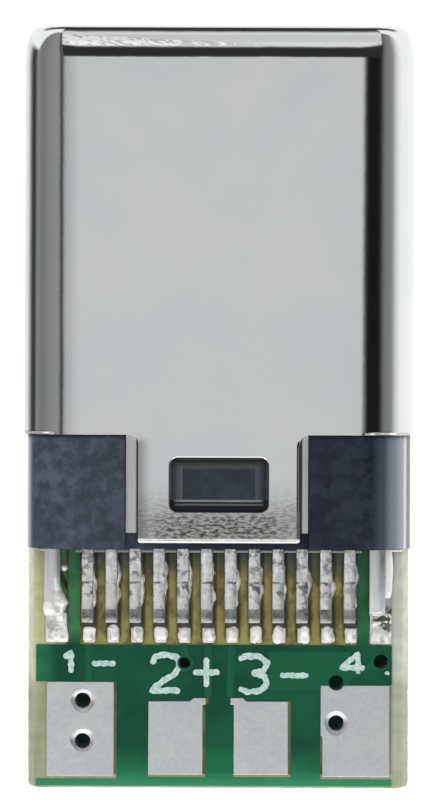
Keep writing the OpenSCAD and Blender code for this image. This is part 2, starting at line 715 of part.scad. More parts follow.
// Green lacquer on the lower face, open around the resistor pads and closed over the plated holes
module lower_mask() color("seagreen") mirror([0, 0, 1]) translate([0, 0, face_z])
    for (h = [mask_t, mask_t + copper_rise]) linear_extrude(h) difference() {
        intersection() {
            mask_area();
            if (h > mask_t) lower_copper(); else square(4 * far, center = true);
        }
        resistor_outline(mask_play);
    }

// Solder under and behind the upturned tips of one row
module tail_solder() color("silver") for (i = [1 : contact_count]) {
    heel = beside(contact_path, 1, -contact_t / 2);
    tip = beside(contact_path, 0, -contact_t / 2);
    stop = block_y - contact_pad_len;
    translate([contact_x(i) - contact_w / 2, 0, 0]) rotate([90, 0, 90]) linear_extrude(contact_w) polygon([
        heel, tip, [tip[0] - solder_slope, pad_z + solder_rise], [stop + solder_slope, pad_z + solder_rise],
        [stop, pad_z]]);
}

// Solder behind the two legs and beside them, where the pads show to the right of them
module leg_solder() color("silver") for (s = [-1, 1]) translate([s * leg_x, 0, 0]) {
    stop = block_y - leg_len;
    side = shield_pad_w / 2;
    leg_side = leg_shift + leg_w / 2;
    translate([0, stop, 0]) rotate([90, 0, 180]) mirror([1, 0, 0]) linear_extrude(leg_solder_len) polygon([
        [leg_side, pad_z], [side, pad_z], [leg_side, pad_z + leg_solder_h]]);
    translate([-side, 0, 0]) rotate([90, 0, 90]) linear_extrude(2 * side) polygon([
        [stop, pad_z], [stop, pad_z + leg_solder_h], [stop - leg_toe, pad_z + solder_rise],
        [stop - 2 * leg_toe, pad_z]]);
}

// Ceramic body of the resistor
module resistor_body() color("black") translate([chip_x, end_y + chip_y, 0])
    slab([-chip_len / 2 + cap_t, -chip_w / 2 + cap_t, -pad_z - chip_h + cap_t],
         [chip_len / 2 - cap_t, chip_w / 2 - cap_t, -pad_z - cap_t]);

// Metal caps around the two ends of the resistor
module resistor_caps() color("silver") difference() {
    for (s = [0, 1]) translate([chip_x, end_y + chip_y, 0]) mirror([s, 0, 0])
        slab([chip_len / 2 - cap_len, -chip_w / 2, -pad_z - chip_h], [chip_len / 2, chip_w / 2, -pad_z]);
    resistor_body();
}

// Pads under the resistor
module resistor_pads() color("gainsboro") translate([0, 0, -pad_z]) linear_extrude(pad_t) resistor_outline(0);

// Solder fillets at the ends of the resistor
module resistor_solder() color("silver") for (s = [0, 1])
    translate([chip_x, end_y + chip_y, 0]) mirror([s, 0, 0]) translate([chip_len / 2, chip_w / 2, -pad_z])
        rotate([90, 0, 0]) linear_extrude(chip_w) polygon([
            [0, 0], [chip_fillet, 0], [chip_fillet / 3, -chip_fillet_h / 3], [0, -chip_fillet_h]]);

raised() plug_shell();
raised() nose_moulding();
raised() upper_carrier();
raised() lower_carrier();
for (i = [1 : contact_count]) {
    raised() contact(i);
    raised() mirror([0, 0, 1]) contact(i);
}
raised() latch_plate();
raised() ground_spring();  // upper_ground_spring
raised() mirror([0, 0, 1]) ground_spring();  // lower_ground_spring
raised() circuit_board();
raised() upper_mask();
raised() lower_mask();
raised() wire_pad() power_outline(-1, 0);  // minus_pad
raised() wire_pad() data_outline(-1, 0);  // data_plus_pad
raised() wire_pad() data_outline(1, 0);  // data_minus_pad
raised() wire_pad() power_outline(1, 0);  // plus_pad
raised() contact_pads();  // upper_contact_pads
raised() mirror([0, 0, 1]) contact_pads();  // lower_contact_pads
raised() shield_pads();
raised() plated_holes();
raised() tail_solder();  // upper_solder
raised() mirror([0, 0, 1]) tail_solder();  // lower_solder
raised() leg_solder();
raised() resistor_body();
raised() resistor_caps();
raised() resistor_pads();
raised() resistor_solder();
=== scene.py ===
import math

import bmesh
import bpy
from mathutils import Matrix, Vector, noise


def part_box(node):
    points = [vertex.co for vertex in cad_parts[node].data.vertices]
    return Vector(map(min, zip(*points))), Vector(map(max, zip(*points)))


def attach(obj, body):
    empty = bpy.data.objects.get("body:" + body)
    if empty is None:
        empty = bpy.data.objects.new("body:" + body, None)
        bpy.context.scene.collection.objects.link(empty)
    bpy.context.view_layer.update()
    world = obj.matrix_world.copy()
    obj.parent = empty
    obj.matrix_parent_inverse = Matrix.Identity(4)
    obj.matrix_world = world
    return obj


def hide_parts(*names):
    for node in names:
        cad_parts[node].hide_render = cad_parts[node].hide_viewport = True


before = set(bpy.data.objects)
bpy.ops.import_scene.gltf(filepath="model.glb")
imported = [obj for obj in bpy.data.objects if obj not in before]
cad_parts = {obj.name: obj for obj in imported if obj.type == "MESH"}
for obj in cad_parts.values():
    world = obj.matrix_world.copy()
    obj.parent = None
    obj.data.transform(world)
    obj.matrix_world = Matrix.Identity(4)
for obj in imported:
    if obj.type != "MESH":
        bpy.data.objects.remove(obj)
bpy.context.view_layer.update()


# Laminate of the board: a slip of glass-fibre epoxy, snapped out of a panel along scored lines, so that its
# long sides are bevelled and rough. It carries copper and lacquer on both faces and butts against the plug.
mm = 0.001


def box_mm(node):
    """Low and high corner of a solid, in millimetres."""
    return [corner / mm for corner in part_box(node)]


board_low, board_high = box_mm("circuit_board")
board_top, board_end, board_front = board_high.z, board_low.y, board_high.y
score_run, score_depth, rim_inset = 0.14, 0.26, 0.004
corner_r, fray = 0.1, 0.012
pitch, contact_count = 0.5, 12
row_half = (contact_count - 1) / 2 * pitch
row_edge, row_soft = row_half + pitch / 2, 0.05
contact_pad_x, contact_pad_w = 0.04, 0.26
row_bare = 0.045
lacquer_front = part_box("upper_contact_pads")[0].y / mm - row_bare

# middle and radius of each plated hole, placed from the pads that it joins to the other face
minus_low, minus_high = box_mm("minus_pad")
plus_high = box_mm("plus_pad")[1]
minus_x = (minus_low.x + minus_high.x) / 2 + 0.05
plus_x = plus_high.x - 1.125
wide_r, narrow_r, via_wall = 0.155, 0.12, 0.025
vias = [
    (minus_x, plus_high.y - 0.33, wide_r), (minus_x, plus_high.y - 1.18, wide_r),
    (plus_x, plus_high.y + 0.06, wide_r), (plus_x, plus_high.y - 0.79, wide_r),
    (plus_high.x - 0.185, lacquer_front - 0.34, wide_r), (-0.71, lacquer_front - 0.38, narrow_r),
]


def ring_faces(bm, here, there):
    """Faces between two closed rings of points."""
    for k in range(len(here)):
        n = (k + 1) % len(here)
        bm.faces.new((here[k], here[n], there[n], there[k]))


def arc(centre, radius, start, stop, steps):
    """Points of an arc in the plan, between two angles in degrees."""
    turns = [math.radians(start + (stop - start) * k / steps) for k in range(steps + 1)]
    return [(centre[0] + radius * math.cos(t), centre[1] + radius * math.sin(t)) for t in turns]


def circle(x, y, radius, steps=40):
    """Closed outline of a round hole."""
    return arc((x, y), radius, 0, 360, steps)[:-1]


def drills(extra):
    """Outlines of the plated holes, with an extra radius."""
    return [circle(x, y, r + extra) for x, y, r in vias]


def ripple(x, y, scale, seed):
    """Smooth noise over the plan, with features of about 1 / scale millimetres."""
    return noise.noise(Vector((x * scale, y * scale, seed)))


def new_piece(name, bm, mend=False):
    """Turns mesh code into an object, its faces turned outwards if asked. Lengths are still millimetres."""
    if mend:
        bmesh.ops.recalc_face_normals(bm, faces=bm.faces)
    mesh = bpy.data.meshes.new(name)
    bm.to_mesh(mesh)
    bm.free()
    piece = bpy.data.objects.new(name, mesh)
    bpy.context.scene.collection.objects.link(piece)
    return piece


def prisms(name, outlines, low, high):
    """A piece of upright blocks over plan outlines that run counter-clockwise."""
    bm = bmesh.new()
    for outline in outlines:
        rings = [[bm.verts.new((x, y, z)) for x, y in outline] for z in (low, high)]
        bm.faces.new(list(reversed(rings[0])))
        bm.faces.new(rings[1])
        ring_faces(bm, *rings)
    return new_piece(name, bm)


def settle(piece):
    """Replaces an object's mesh by what its modifiers make of it."""
    bpy.context.view_layer.update()
    graph = bpy.context.evaluated_depsgraph_get()
    made = bpy.data.meshes.new_from_object(piece.evaluated_get(graph), depsgraph=graph)
    piece.modifiers.clear()
    piece.data = made
    made.name = piece.name
    return piece


def cut(piece, outlines, low=0, high=2 * board_top):
    """Punches outlines through a piece between two levels."""
    tool = prisms("cutting_tool", outlines, low, high)
    punch = piece.modifiers.new("punch", "BOOLEAN")
    punch.object, punch.solver, punch.use_self = tool, "EXACT", True
    settle(piece)
    bpy.data.objects.remove(tool)


def round_edges(piece, width, segments=2, angle=30):
    """Rounds every edge that turns more than an angle."""
    bevel = piece.modifiers.new("rounding", "BEVEL")
    bevel.width, bevel.segments = width, segments
    bevel.limit_method, bevel.angle_limit = "ANGLE", math.radians(angle)
    bevel.use_clamp_overlap = True
    settle(piece)


def finish_piece(piece, slot, *nodes, material=None, smooth=40):
    """Shrinks a piece to metres, gives it its finish and its body, and hides the solids that it stands for.
    """
    mesh = piece.data
    mesh.transform(Matrix.Scale(mm, 4))
    mesh.polygons.foreach_set("use_smooth", [True] * len(mesh.polygons))
    mesh.set_sharp_from_angle(angle=math.radians(smooth))
    weigh = piece.modifiers.new("weigh", "WEIGHTED_NORMAL")
    weigh.keep_sharp = True
    settle(piece)
    if material:
        piece.data.materials.clear()
        piece.data.materials.append(material)
    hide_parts(*nodes)
    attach(piece, "root")
    return piece


class Level:
    """One output of a node. Arithmetic with numbers and other levels adds nodes to the same tree, where a | b
    is the larger of the two."""

    def __init__(self, node, output=0):
        self.tree, self.socket = node.id_data, node.outputs[output]

    def __add__(self, other):
        return work("ADD", self, other)

    def __sub__(self, other):
        return work("SUBTRACT", self, other)

    def __mul__(self, other):
        return work("MULTIPLY", self, other)

    def __or__(self, other):
        return work("MAXIMUM", self, other)

    def __abs__(self):
        return work("ABSOLUTE", self)

    def vector(self, operation, other=(0, 0, 0), output=0):
        """One step of arithmetic on the level as a vector."""
        values = {0: self, "Scale" if operation == "SCALE" else 1: other}
        return Level(add(self.tree, "ShaderNodeVectorMath", values, operation=operation), output)


def add(tree, kind, values=None, **settings):
    """Adds a node to a tree. Each value is a number, a colour or a level to link, by input name or place."""
    made = tree.nodes.new(kind)
    for name, setting in settings.items():
        setattr(made, name, setting)
    for key, value in (values or {}).items():
        if isinstance(value, Level):
            tree.links.new(value.socket, made.inputs[key])
        else:
            made.inputs[key].default_value = value
    return made


def tree_of(*values):
    """The node tree of the first level among some values."""
    return next(value.tree for value in values if isinstance(value, Level))


def work(operation, *values):
    """One step of arithmetic on levels and numbers."""
    return Level(add(tree_of(*values), "ShaderNodeMath", dict(enumerate(values)), operation=operation))


def split(vector):
    """The X, Y and Z of a vector."""
    parts = add(vector.tree, "ShaderNodeSeparateXYZ", {0: vector})
    return [Level(parts, axis) for axis in "XYZ"]


def place_of(tree):
    """Object coordinates in millimetres, whole and split into X, Y and Z."""
    place = Level(add(tree, "ShaderNodeTexCoord"), "Object").vector("SCALE", 1 / mm)
    return place, *split(place)


def new_finish(name, **sockets):
    """A material with plain values on its shader, then that shader and the place of each point."""
    material = bpy.data.materials.new(name)
    material.use_nodes = True
    shader = material.node_tree.nodes["Principled BSDF"]
    for key, value in sockets.items():
        shader.inputs[key.replace("_", " ")].default_value = value
    return material, shader, *place_of(material.node_tree)


def grain(place, scale, detail=3, rough=0.5, stretch=(1, 1, 1)):
    """Noise with features of about 1 / scale millimetres, longer where stretch is under one."""
    spread = place.vector("MULTIPLY", stretch)
    values = {"Vector": spread, "Scale": scale, "Detail": detail, "Roughness": rough}
    return Level(add(place.tree, "ShaderNodeTexNoise", values), "Fac")


def fade(level, low, high, start=0, stop=1):
    """Smooth change from start to stop as a level goes from low to high."""
    values = {"Value": level, 1: low, 2: high, 3: start, 4: stop}
    return Level(add(level.tree, "ShaderNodeMapRange", values, interpolation_type="SMOOTHSTEP"))


def blend(share, below, above, mode="MIX"):
    """Mixes two colours."""
    tree = tree_of(share, below, above)
    below, above = (tone if isinstance(tone, Level) else (*tone, 1) for tone in (below, above))
    values = {0: share, 6: below, 7: above}
    return Level(add(tree, "ShaderNodeMix", values, data_type="RGBA", blend_type=mode), 2)


def lay(tone, *coats):
    """Lays coats over a colour in turn, each a share and a colour of its own."""
    for share, coat in coats:
        tone = blend(share, tone, coat)
    return tone


def paint(shader, tone, roughness=None):
    """Links the colour of a finish, and its roughness where that varies."""
    for name, level in (("Base Color", tone), ("Roughness", roughness)):
        if level:
            level.tree.links.new(level.socket, shader.inputs[name])


def bumps(shader, height, depth):
    """Fine relief of a depth in millimetres, on top of what the shader already has."""
    values = {"Height": height, "Distance": depth * mm}
    for link in shader.inputs["Normal"].links:
        values["Normal"] = Level(link.from_node)
    relief = add(height.tree, "ShaderNodeBump", values)
    height.tree.links.new(relief.outputs[0], shader.inputs["Normal"])


def board_outline(inset, level):
    """Plan of the slip at one level, a little frayed where the score was snapped."""
    side, end, steps, near = board_high.x - inset, board_end, 90, 0.05
    run, width = board_front - end - corner_r, 2 * (side - corner_r)
    outline = [(side, board_front - run * k / steps) for k in range(steps)]
    outline += arc((side - corner_r, end + corner_r), corner_r, 0, -90, 6)
    outline += [(side - corner_r - width * k / steps, end) for k in range(1, steps)]
    outline += arc((corner_r - side, end + corner_r), corner_r, -90, -180, 6)
    outline += [(-side, end + corner_r + run * k / steps) for k in range(1, steps + 1)]
    frayed = []
    for x, y in outline:
        wear = fray * (abs(ripple(x, y, 2, level)) + abs(ripple(x, y, 11, level)))
        if y < board_front - near:
            x -= math.copysign(min(wear, abs(x)), x)
            y += wear if y < end + near else 0
        frayed.append((x, y))
    return frayed


levels = [
    (board_low.z, score_run), (board_low.z + score_depth, rim_inset),
    (board_top - score_depth, rim_inset), (board_top, score_run),
]
bm = bmesh.new()
rings = [[bm.verts.new((x, y, z)) for x, y in board_outline(inset, z)] for z, inset in levels]
for below, above in zip(rings, rings[1:]):
    for k in range(len(below) - 1):
        bm.faces.new((below[k], below[k + 1], above[k + 1], above[k]))
bm.faces.new(rings[0])
bm.faces.new(list(reversed(rings[-1])))
bm.faces.new([ring[-1] for ring in rings] + [ring[0] for ring in reversed(rings)])
laminate = new_piece("laminate", bm, mend=True)
cut(laminate, drills(via_wall))

bare_laminate, shader, place, across, along, *_ = new_finish(
    "bare_laminate", Roughness=0.55, Specular_IOR_Level=0.25)
olive, straw, stain = (0.29, 0.265, 0.09), (0.48, 0.48, 0.25), (0.11, 0.08, 0.02)
pale, ash = (0.62, 0.63, 0.49), (0.38, 0.42, 0.36)
outward, from_end, from_front = abs(across), along - board_end, along - board_front
weave = grain(place, 5, 1, 0.5, (1, 0.12, 1)) + grain(place, 5, 1, 0.5, (0.12, 1, 1))
glass = blend(fade(weave, 0.75, 1.3), (0.9, 0.9, 0.9), (1.1, 1.09, 1.06))
by_side = fade(outward, 2.9, 3.75)
flux = fade(grain(place, 2.8, 4, 0.6, (1, 0.6, 1)), 0.44, 0.62) * fade(by_side, 0, 0.3, 1, 0)
# painted shadow of the plug on the laminate in front of it, dark teal, weaker at the left side
painted_plug_shadow = fade(from_front, -0.75, -0.15) * fade(across, -3.3, -3.6, 0.75, 0.2)
from_pad = abs(work("PINGPONG", across - contact_pad_x, pitch) - pitch / 2)
in_row = fade(outward, row_edge + row_soft, row_edge - row_soft) * fade(from_front, -2.0, -1.8)
# painted shadow of the contacts on the laminate beside each pad of the row, with some flux residue
pin_shadow_and_flux = fade(from_pad, 0.21, 0.14, 0, 0.75) * in_row
in_gaps = fade(from_end, 2.35, 2.25) * fade(by_side, 0.3, 0)
by_lacquer = fade(outward, 3.02, 3.06) * fade(outward, 3.24, 3.2)
# painted shadow in the gap along the right edge of the plus pad
plus_pad_shadow = fade(across, 3.56, 3.6) * fade(across, 3.68, 3.61) * fade(from_end, 2.2, 2.1)
on_rim = fade(outward, board_high.x - 0.28, board_high.x - 0.03) | fade(from_end, 0.07, 0.01)
specks = fade(grain(place, 14, 3), 0.35, 0.65, 0.7, 1)
handled = fade(from_end, 2.6, 1.9) * fade(outward, 3.5, 3.6) * fade(across, -1, 1, 0.75, 0.5)
body = lay(
    blend(by_side, olive, blend(fade(across, -1, 1), straw, ash)),
    (flux * 0.8, stain),
    (painted_plug_shadow, (0.05, 0.09, 0.078)),
    (pin_shadow_and_flux, (0.035, 0.028, 0.01)),
    (in_gaps * 0.55, (0.05, 0.12, 0.055)),
    (by_lacquer * 0.75, (0.045, 0.12, 0.05)),
    (fade(across, 3.62, 3.74) * 0.75, (0.52, 0.55, 0.48)),
    (plus_pad_shadow * 0.8, (0.05, 0.05, 0.025)),
    (fade(from_end, 0.31, 0.28) * 0.8, (0.42, 0.45, 0.27)),
    (on_rim * specks, pale),
    (handled, (0.27, 0.29, 0.19)),
)
paint(shader, blend(1.0, body, glass, "MULTIPLY"))
bumps(shader, grain(place, 22, 3), 0.006)
finish_piece(laminate, "laminate", "circuit_board", material=bare_laminate, smooth=30)


# Green lacquer: a liquid mask printed on both faces and cured. It is open around every pad, slightly off its
# mark, stands a little higher where copper runs below it, and on the underside it also closes the holes.
side_bare, end_bare, left_over, right_short = 0.1, 0.05, 0.05, 0.13
open_play, open_shift, open_r = 0.034, 0.026, 0.03
lacquer_t, lacquer_edge = 0.03, 0.012
copper_rise, copper_root, copper_edge = 0.012, 0.01, 0.01
lacquer_side = board_high.x - score_run - side_bare
lacquer_left, lacquer_right = -lacquer_side - left_over, lacquer_side - right_short
lacquer_end = board_end + end_bare
lacquer_top = board_top + lacquer_t
lower_face = board_low.z
lower_top = lower_face - lacquer_t
leg_gap, shield_w = 0.66, 0.46
leg_x = row_half + leg_gap
bare_half = row_half + contact_pad_w / 2 + open_play
shield_in = leg_x - shield_w / 2 - open_play
tab_w, tab_len = 0.26, 0.07
track_w, land_half = 0.17, 0.02
wide_track = 2 * track_w


def rounded_box(low, high, radius, steps=6):
    """Closed outline of a rectangle with round corners."""
    x0, y0, x1, y1 = low[0] + radius, low[1] + radius, high[0] - radius, high[1] - radius
    outline = []
    for centre, start in (((x1, y0), -90), ((x1, y1), 0), ((x0, y1), 90), ((x0, y0), 180)):
        outline += arc(centre, radius, start, start + 90, steps)
    return outline


def lacquer_outline(left, right):
    """Plan of the lacquer: the whole slip but its rim, the contact row and the pads of the two legs."""
    inner = [(shield_in, lacquer_front), (shield_in, board_front)]
    inner += [(bare_half, board_front), (bare_half, lacquer_front)]
    outline = [(left, lacquer_end), (right, lacquer_end), (right, lacquer_front)] + inner
    return outline + [(-x, y) for x, y in reversed(inner)] + [(left, lacquer_front)]


def pad_box(node, grow=0.0, move=0.0):
    """Low and high corner of a pad in the plan, grown on every side and moved right and back."""
    low, high = box_mm(node)
    return (low.x - grow + move, low.y - grow - move), (high.x + grow + move, high.y + grow - move)


def stroke(a, b, width=track_w):
    """Outline of a straight track with round ends."""
    turn = math.degrees(math.atan2(b[1] - a[1], b[0] - a[0]))
    return arc(b, width / 2, turn - 90, turn + 90, 8) + arc(a, width / 2, turn + 90, turn + 270, 8)


def land(via, width):
    """Outline of the copper round a plated hole."""
    return stroke((via[0] - land_half, via[1]), (via[0] + land_half, via[1]), width)


def data_outline(node, grow=0.0, move=0.0):
    """Outline of an inner wire pad with the end of its track at the inner corner."""
    (left, back), (right, front) = pad_box(node, grow, move)
    shoulder, notch = front - tab_len, right - tab_len
    points = [
        (left, back), (notch, back), (notch, shoulder - tab_len), (right, shoulder - tab_len),
        (right, front), (right - tab_w, front), (right - tab_w - tab_len, shoulder), (left, shoulder),
    ]
    if left > 0:
        points = [(left + right - x, y) for x, y in reversed(points)]
    return points


def lacquer_coat(side, outline, sheet, swellings, swelling, openings, punch_low):
    """The lacquer of one face and its swellings over copper, each between two levels, open over the pads."""
    for name, outlines, (low, high), edge in (
            ("_lacquer", [outline], sheet, lacquer_edge), ("_relief", swellings, swelling, copper_edge)):
        piece = prisms(side + name, outlines, low, high)
        cut(piece, openings, punch_low)
        round_edges(piece, edge)
        finish_piece(piece, "green_mask", side + "_mask", material=green_lacquer)


green_lacquer, shader, place, across, along, up = new_finish(
    "green_lacquer", Roughness=0.3, Specular_IOR_Level=0.12, IOR=1.5)
deep, middling = (0.004, 0.062, 0.032), (0.006, 0.09, 0.042)
bright, lime = (0.007, 0.1, 0.046), (0.02, 0.2, 0.09)
board_mid = (board_top + board_low.z) / 2
from_end = along - board_end
height = abs(up - board_mid) - (lacquer_top - board_mid)
over_copper = fade(height, 0.3 * copper_rise, 0.9 * copper_rise)
to_end = fade(from_end, 0.02, 1.0, 1, 0)
to_left = fade(across, -lacquer_side, 0.45 - lacquer_side, 1, 0)
# painted light: the lacquer lighter towards the end of the board and its left edge
lit_end_and_left = (to_end | to_left) * fade(grain(place, 1.6, 2), 0.2, 0.75, 0.35, 1)
between_pads = fade(abs(across), 0.6, 0.2) * fade(to_end, 0, 0.25)
by_row = fade(across, -2.8, -2.92) | fade(across, 2.85, 2.95, 0, 0.45)
thin_coat = by_row * fade(along, lacquer_front, lacquer_front + 0.25)
thin_coat *= fade(grain(place, 2, 2), 0.3, 0.6, 0.4, 1)
paint(shader, lay(
    blend(fade(grain(place, 0.9, 2), 0.35, 0.68), deep, middling),
    (over_copper, bright),
    (lit_end_and_left, lime),
    (between_pads * 0.6, (0.008, 0.15, 0.055)),
    # painted light along the end edge of the lacquer
    (fade(from_end, 0.4, 0.06), (0.035, 0.25, 0.115)),
    (thin_coat, (0.05, 0.19, 0.07)),
), fade(grain(place, 6, 3), 0.3, 0.7, 0.24, 0.4))
bumps(shader, grain(place, 3.5, 2), 0.006)

minus_via, minus_rear, plus_via, plus_rear, outer_via, sense_via = ((x, y) for x, y, r in vias)
join_y = lacquer_front - track_w / 2
power_front = pad_box("minus_pad")[1][1]
tab_front = pad_box("data_plus_pad")[1][1] + 0.1
first_x = contact_pad_x - row_half
beyond = 2 * board_high.x
openings = [data_outline(node, open_play, open_shift) for node in ("data_plus_pad", "data_minus_pad")]
low, high = pad_box("minus_pad", open_play, open_shift)
openings.append(rounded_box((-beyond, low[1]), high, open_r))
low, high = pad_box("plus_pad", open_play, open_shift)
openings.append(rounded_box(low, (beyond, high[1]), open_r))
openings += drills(0)
pour_left, pour_right = 2.1 * pitch, plus_via[0] + 0.3
pour_back, pour_front = power_front - track_w, lacquer_front - 0.13
upper_copper = [
    stroke((first_x, join_y), (minus_via[0] + 0.12, power_front + open_play)),
    stroke((sense_via[0], join_y), sense_via),
    stroke((contact_pad_x - pitch / 2, join_y), (contact_pad_x - pitch / 2, tab_front)),
    stroke((contact_pad_x + pitch / 2, join_y), (pitch / 2, tab_front)),
    stroke(plus_via, outer_via), land(sense_via, 2.2 * track_w), land(outer_via, 2.3 * track_w),
    [(pour_left, pour_back), (pour_right, pour_back), (pour_right, pour_front), (pour_left, pour_front)],
]
lacquer_coat("upper", lacquer_outline(lacquer_left, lacquer_right), (board_top, lacquer_top),
             upper_copper, (lacquer_top - copper_root, lacquer_top + copper_rise), openings, 0)

chip_low, chip_high = pad_box("resistor_pads", open_play)
chip_x, chip_y = ((a + b) / 2 for a, b in zip(chip_low, chip_high))
chip_pad_w = 0.49 + 2 * open_play
chip_left, chip_right = (chip_x - 0.5, chip_y), (chip_x + 0.5, chip_y)
sense_turn = (chip_left[0], sense_via[1] - 0.2)
lower_copper = [
    stroke(sense_via, sense_turn), stroke(sense_turn, chip_left),
    stroke(chip_right, plus_via, wide_track), stroke(plus_via, plus_rear, wide_track),
    stroke((contact_pad_x + row_half - 2 * pitch, join_y - 0.1), plus_via, wide_track),
    stroke(minus_via, minus_rear, wide_track), stroke((first_x, join_y - 0.1), minus_via, wide_track),
]
chip_openings = [
    rounded_box(chip_low, (chip_low[0] + chip_pad_w, chip_high[1]), open_r),
    rounded_box((chip_high[0] - chip_pad_w, chip_low[1]), chip_high, open_r),
]
lacquer_coat("lower", lacquer_outline(-lacquer_side, lacquer_side), (lower_top, lower_face),
             lower_copper, (lower_top - copper_rise, lower_top + copper_root), chip_openings, -board_top)


# White print: pad numbers with the sign of each wire, squeezed through a screen in epoxy ink. The ink is thin
# and its edges are ragged where the mesh of the screen held it back.
ink_t, ink_sunk, ink_step, ink_least = 0.014, 0.004, 0.02, 0.02
ink_low, ink_high = lacquer_top - ink_sunk, lacquer_top + copper_rise + ink_t
thick_pen, thin_pen, short_pen = 0.125, 0.115, 0.08
coarse_rag, fine_rag, end_round = 0.022, 0.012, 0.012


def ink_line(bm, points, pen, seed):
    """One pen stroke through some points: a ribbon with ragged sides and round ends."""
    path = [Vector(points[0])]
    for a, b in zip(points, points[1:]):
        a, b = Vector(a), Vector(b)
        steps = max(2, int((b - a).length / ink_step))
        path += [a.lerp(b, k / steps) for k in range(1, steps + 1)]
    left, right = [], []
    for k, point in enumerate(path):
        ahead = path[min(k + 1, len(path) - 1)] - path[max(k - 1, 0)]
        side = Vector((-ahead.y, ahead.x)).normalized()
        from_end = min(k, len(path) - 1 - k) * ink_step
        taper = math.sqrt(min(1, (from_end + end_round) / (pen * 0.45)))
        for row, sign in ((left, 1), (right, -1)):
            ragged = ripple(*point, 11, seed + sign) * coarse_rag
            ragged += ripple(*point, 27, seed + sign) * fine_rag
            row.append(point + side * sign * max(ink_least, pen / 2 * taper + ragged * taper))
    (ll, lr), (hl, hr) = (
        [[bm.verts.new((*point, z)) for point in row] for row in (left, right)] for z in (ink_low, ink_high))
    for k in range(len(path) - 1):
        for one, other in ((hr, hl), (ll, lr), (hl, ll), (lr, hr)):
            bm.faces.new((one[k], one[k + 1], other[k + 1], other[k]))
    bm.faces.new((ll[0], lr[0], hr[0], hl[0]))
    bm.faces.new((lr[-1], ll[-1], hl[-1], hr[-1]))


# shapes of the figures in a box one unit wide and one unit high
figures = {
    "1": [[(0.25, 0.72), (0.6, 1), (0.6, 0)]],
    "2": [[(0, 0.74), (0.14, 0.95), (0.5, 1), (0.86, 0.93), (1, 0.72), (0.8, 0.46), (0.3, 0.22), (0, 0),
           (1, 0)]],
    "3": [[(0, 0.9), (0.3, 1), (0.75, 0.98), (1, 0.8), (0.86, 0.58), (0.45, 0.52)],
          [(0.45, 0.52), (0.9, 0.44), (1, 0.22), (0.75, 0.03), (0.3, 0), (0, 0.1)]],
    "4": [[(0.7, 0), (0.7, 1), (0, 0.3), (1, 0.3)]],
    "-": [[(0, 0.5), (1, 0.5)]],
    "+": [[(0, 0.5), (1, 0.5)], [(0.5, 0), (0.5, 1)]],
}
# each figure with its lower left corner, its width and height, and its pen
labels = [
    ("1", (-3.36, -5.58), (0.44, 0.44), thin_pen), ("-", (-2.66, -5.6), (0.5, 0.44), thin_pen),
    ("2", (-1.4, -5.95), (0.6, 0.76), thick_pen), ("+", (-0.53, -5.87), (0.56, 0.62), thick_pen),
    ("3", (0.43, -5.97), (0.6, 0.76), thick_pen), ("-", (1.3, -5.93), (0.6, 0.62), thin_pen),
    ("4", (2.6, -5.58), (0.48, 0.42), thin_pen), ("-", (3.5, -5.78), (0.1, 0.42), short_pen),
]
bm = bmesh.new()
for seed, (figure, corner, size, pen) in enumerate(labels):
    for line in figures[figure]:
        ink_line(bm, [(corner[0] + x * size[0], corner[1] + y * size[1]) for x, y in line], pen, seed)
print_lines = new_piece("pad_numbers", bm, mend=True)
cut(print_lines, drills(via_wall + 0.01))
white_ink, shader, place, *_ = new_finish("white_ink", Roughness=0.6, Specular_IOR_Level=0.25)
mesh_marks = fade(grain(place, 13, 2), 0.42, 0.62)
paint(shader, blend(mesh_marks, (0.36, 0.55, 0.5), (0.56, 0.68, 0.64)))
bumps(shader, grain(place, 12, 2), 0.006)
print_lines.data.transform(Matrix.Scale(mm, 4))
print_lines.data.materials.append(white_ink)
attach(print_lines, "root")


# Wire pads and shield pads: copper left by etching and dipped in tin, dull and faintly mottled. The tin runs
# up to a soft rim, and it lines the plated holes that tie the pads to the other face.
pad_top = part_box("minus_pad")[1].z / mm
tip_y = box_mm("upper_contact_1")[0].y
drill_play, tin_edge, shield_edge, shield_r, bore_play = 0.01, 0.01, 0.018, 0.04, 0.008
tin_pads, shader, place, across, along, *_ = new_finish("dull_tin", Metallic=1.0, Roughness=0.42)
from_tip, from_front = along - tip_y, along - board_front
mottle = grain(place, 2.2, 4, 0.6) + grain(place, 11, 3, 0.6)
in_row = fade(abs(across), row_edge + row_soft, row_edge - row_soft)
under_tips = fade(from_tip, -0.16, -0.12) * in_row
bead_end = fade(from_tip, -0.12, -0.16) * in_row * fade(from_tip, -0.7, -0.6)
# painted shade with some flux residue on the pads under and beside the contacts, olive brown, and dark teal
# near the plug where its shadow falls
flux_and_pin_shade = blend(fade(from_tip, 0.3, 0.5), (0.045, 0.04, 0.025), (0.2, 0.185, 0.085))
flux_and_pin_shade = blend(fade(from_front, -0.6, -0.2), flux_and_pin_shade, (0.05, 0.065, 0.055))
by_leg = fade(across, 3.46, 3.48) * fade(from_front, -1.02, -1.06) * fade(from_front, -1.42, -1.36)
by_leg *= fade(grain(place, 9, 3), 0.35, 0.55, 0.45, 1)
sooted = blend(fade(from_front, -1.16, -1.3), (0.62, 0.64, 0.55), (0.12, 0.12, 0.1))
beside_leg = fade(across, -3.42, -3.37) * fade(across, -3.0, -3.1) * fade(from_front, -1.42, -1.34)
burnt = blend(fade(grain(place, 4, 3), 0.4, 0.6), (0.09, 0.25, 0.1), (0.18, 0.22, 0.12))
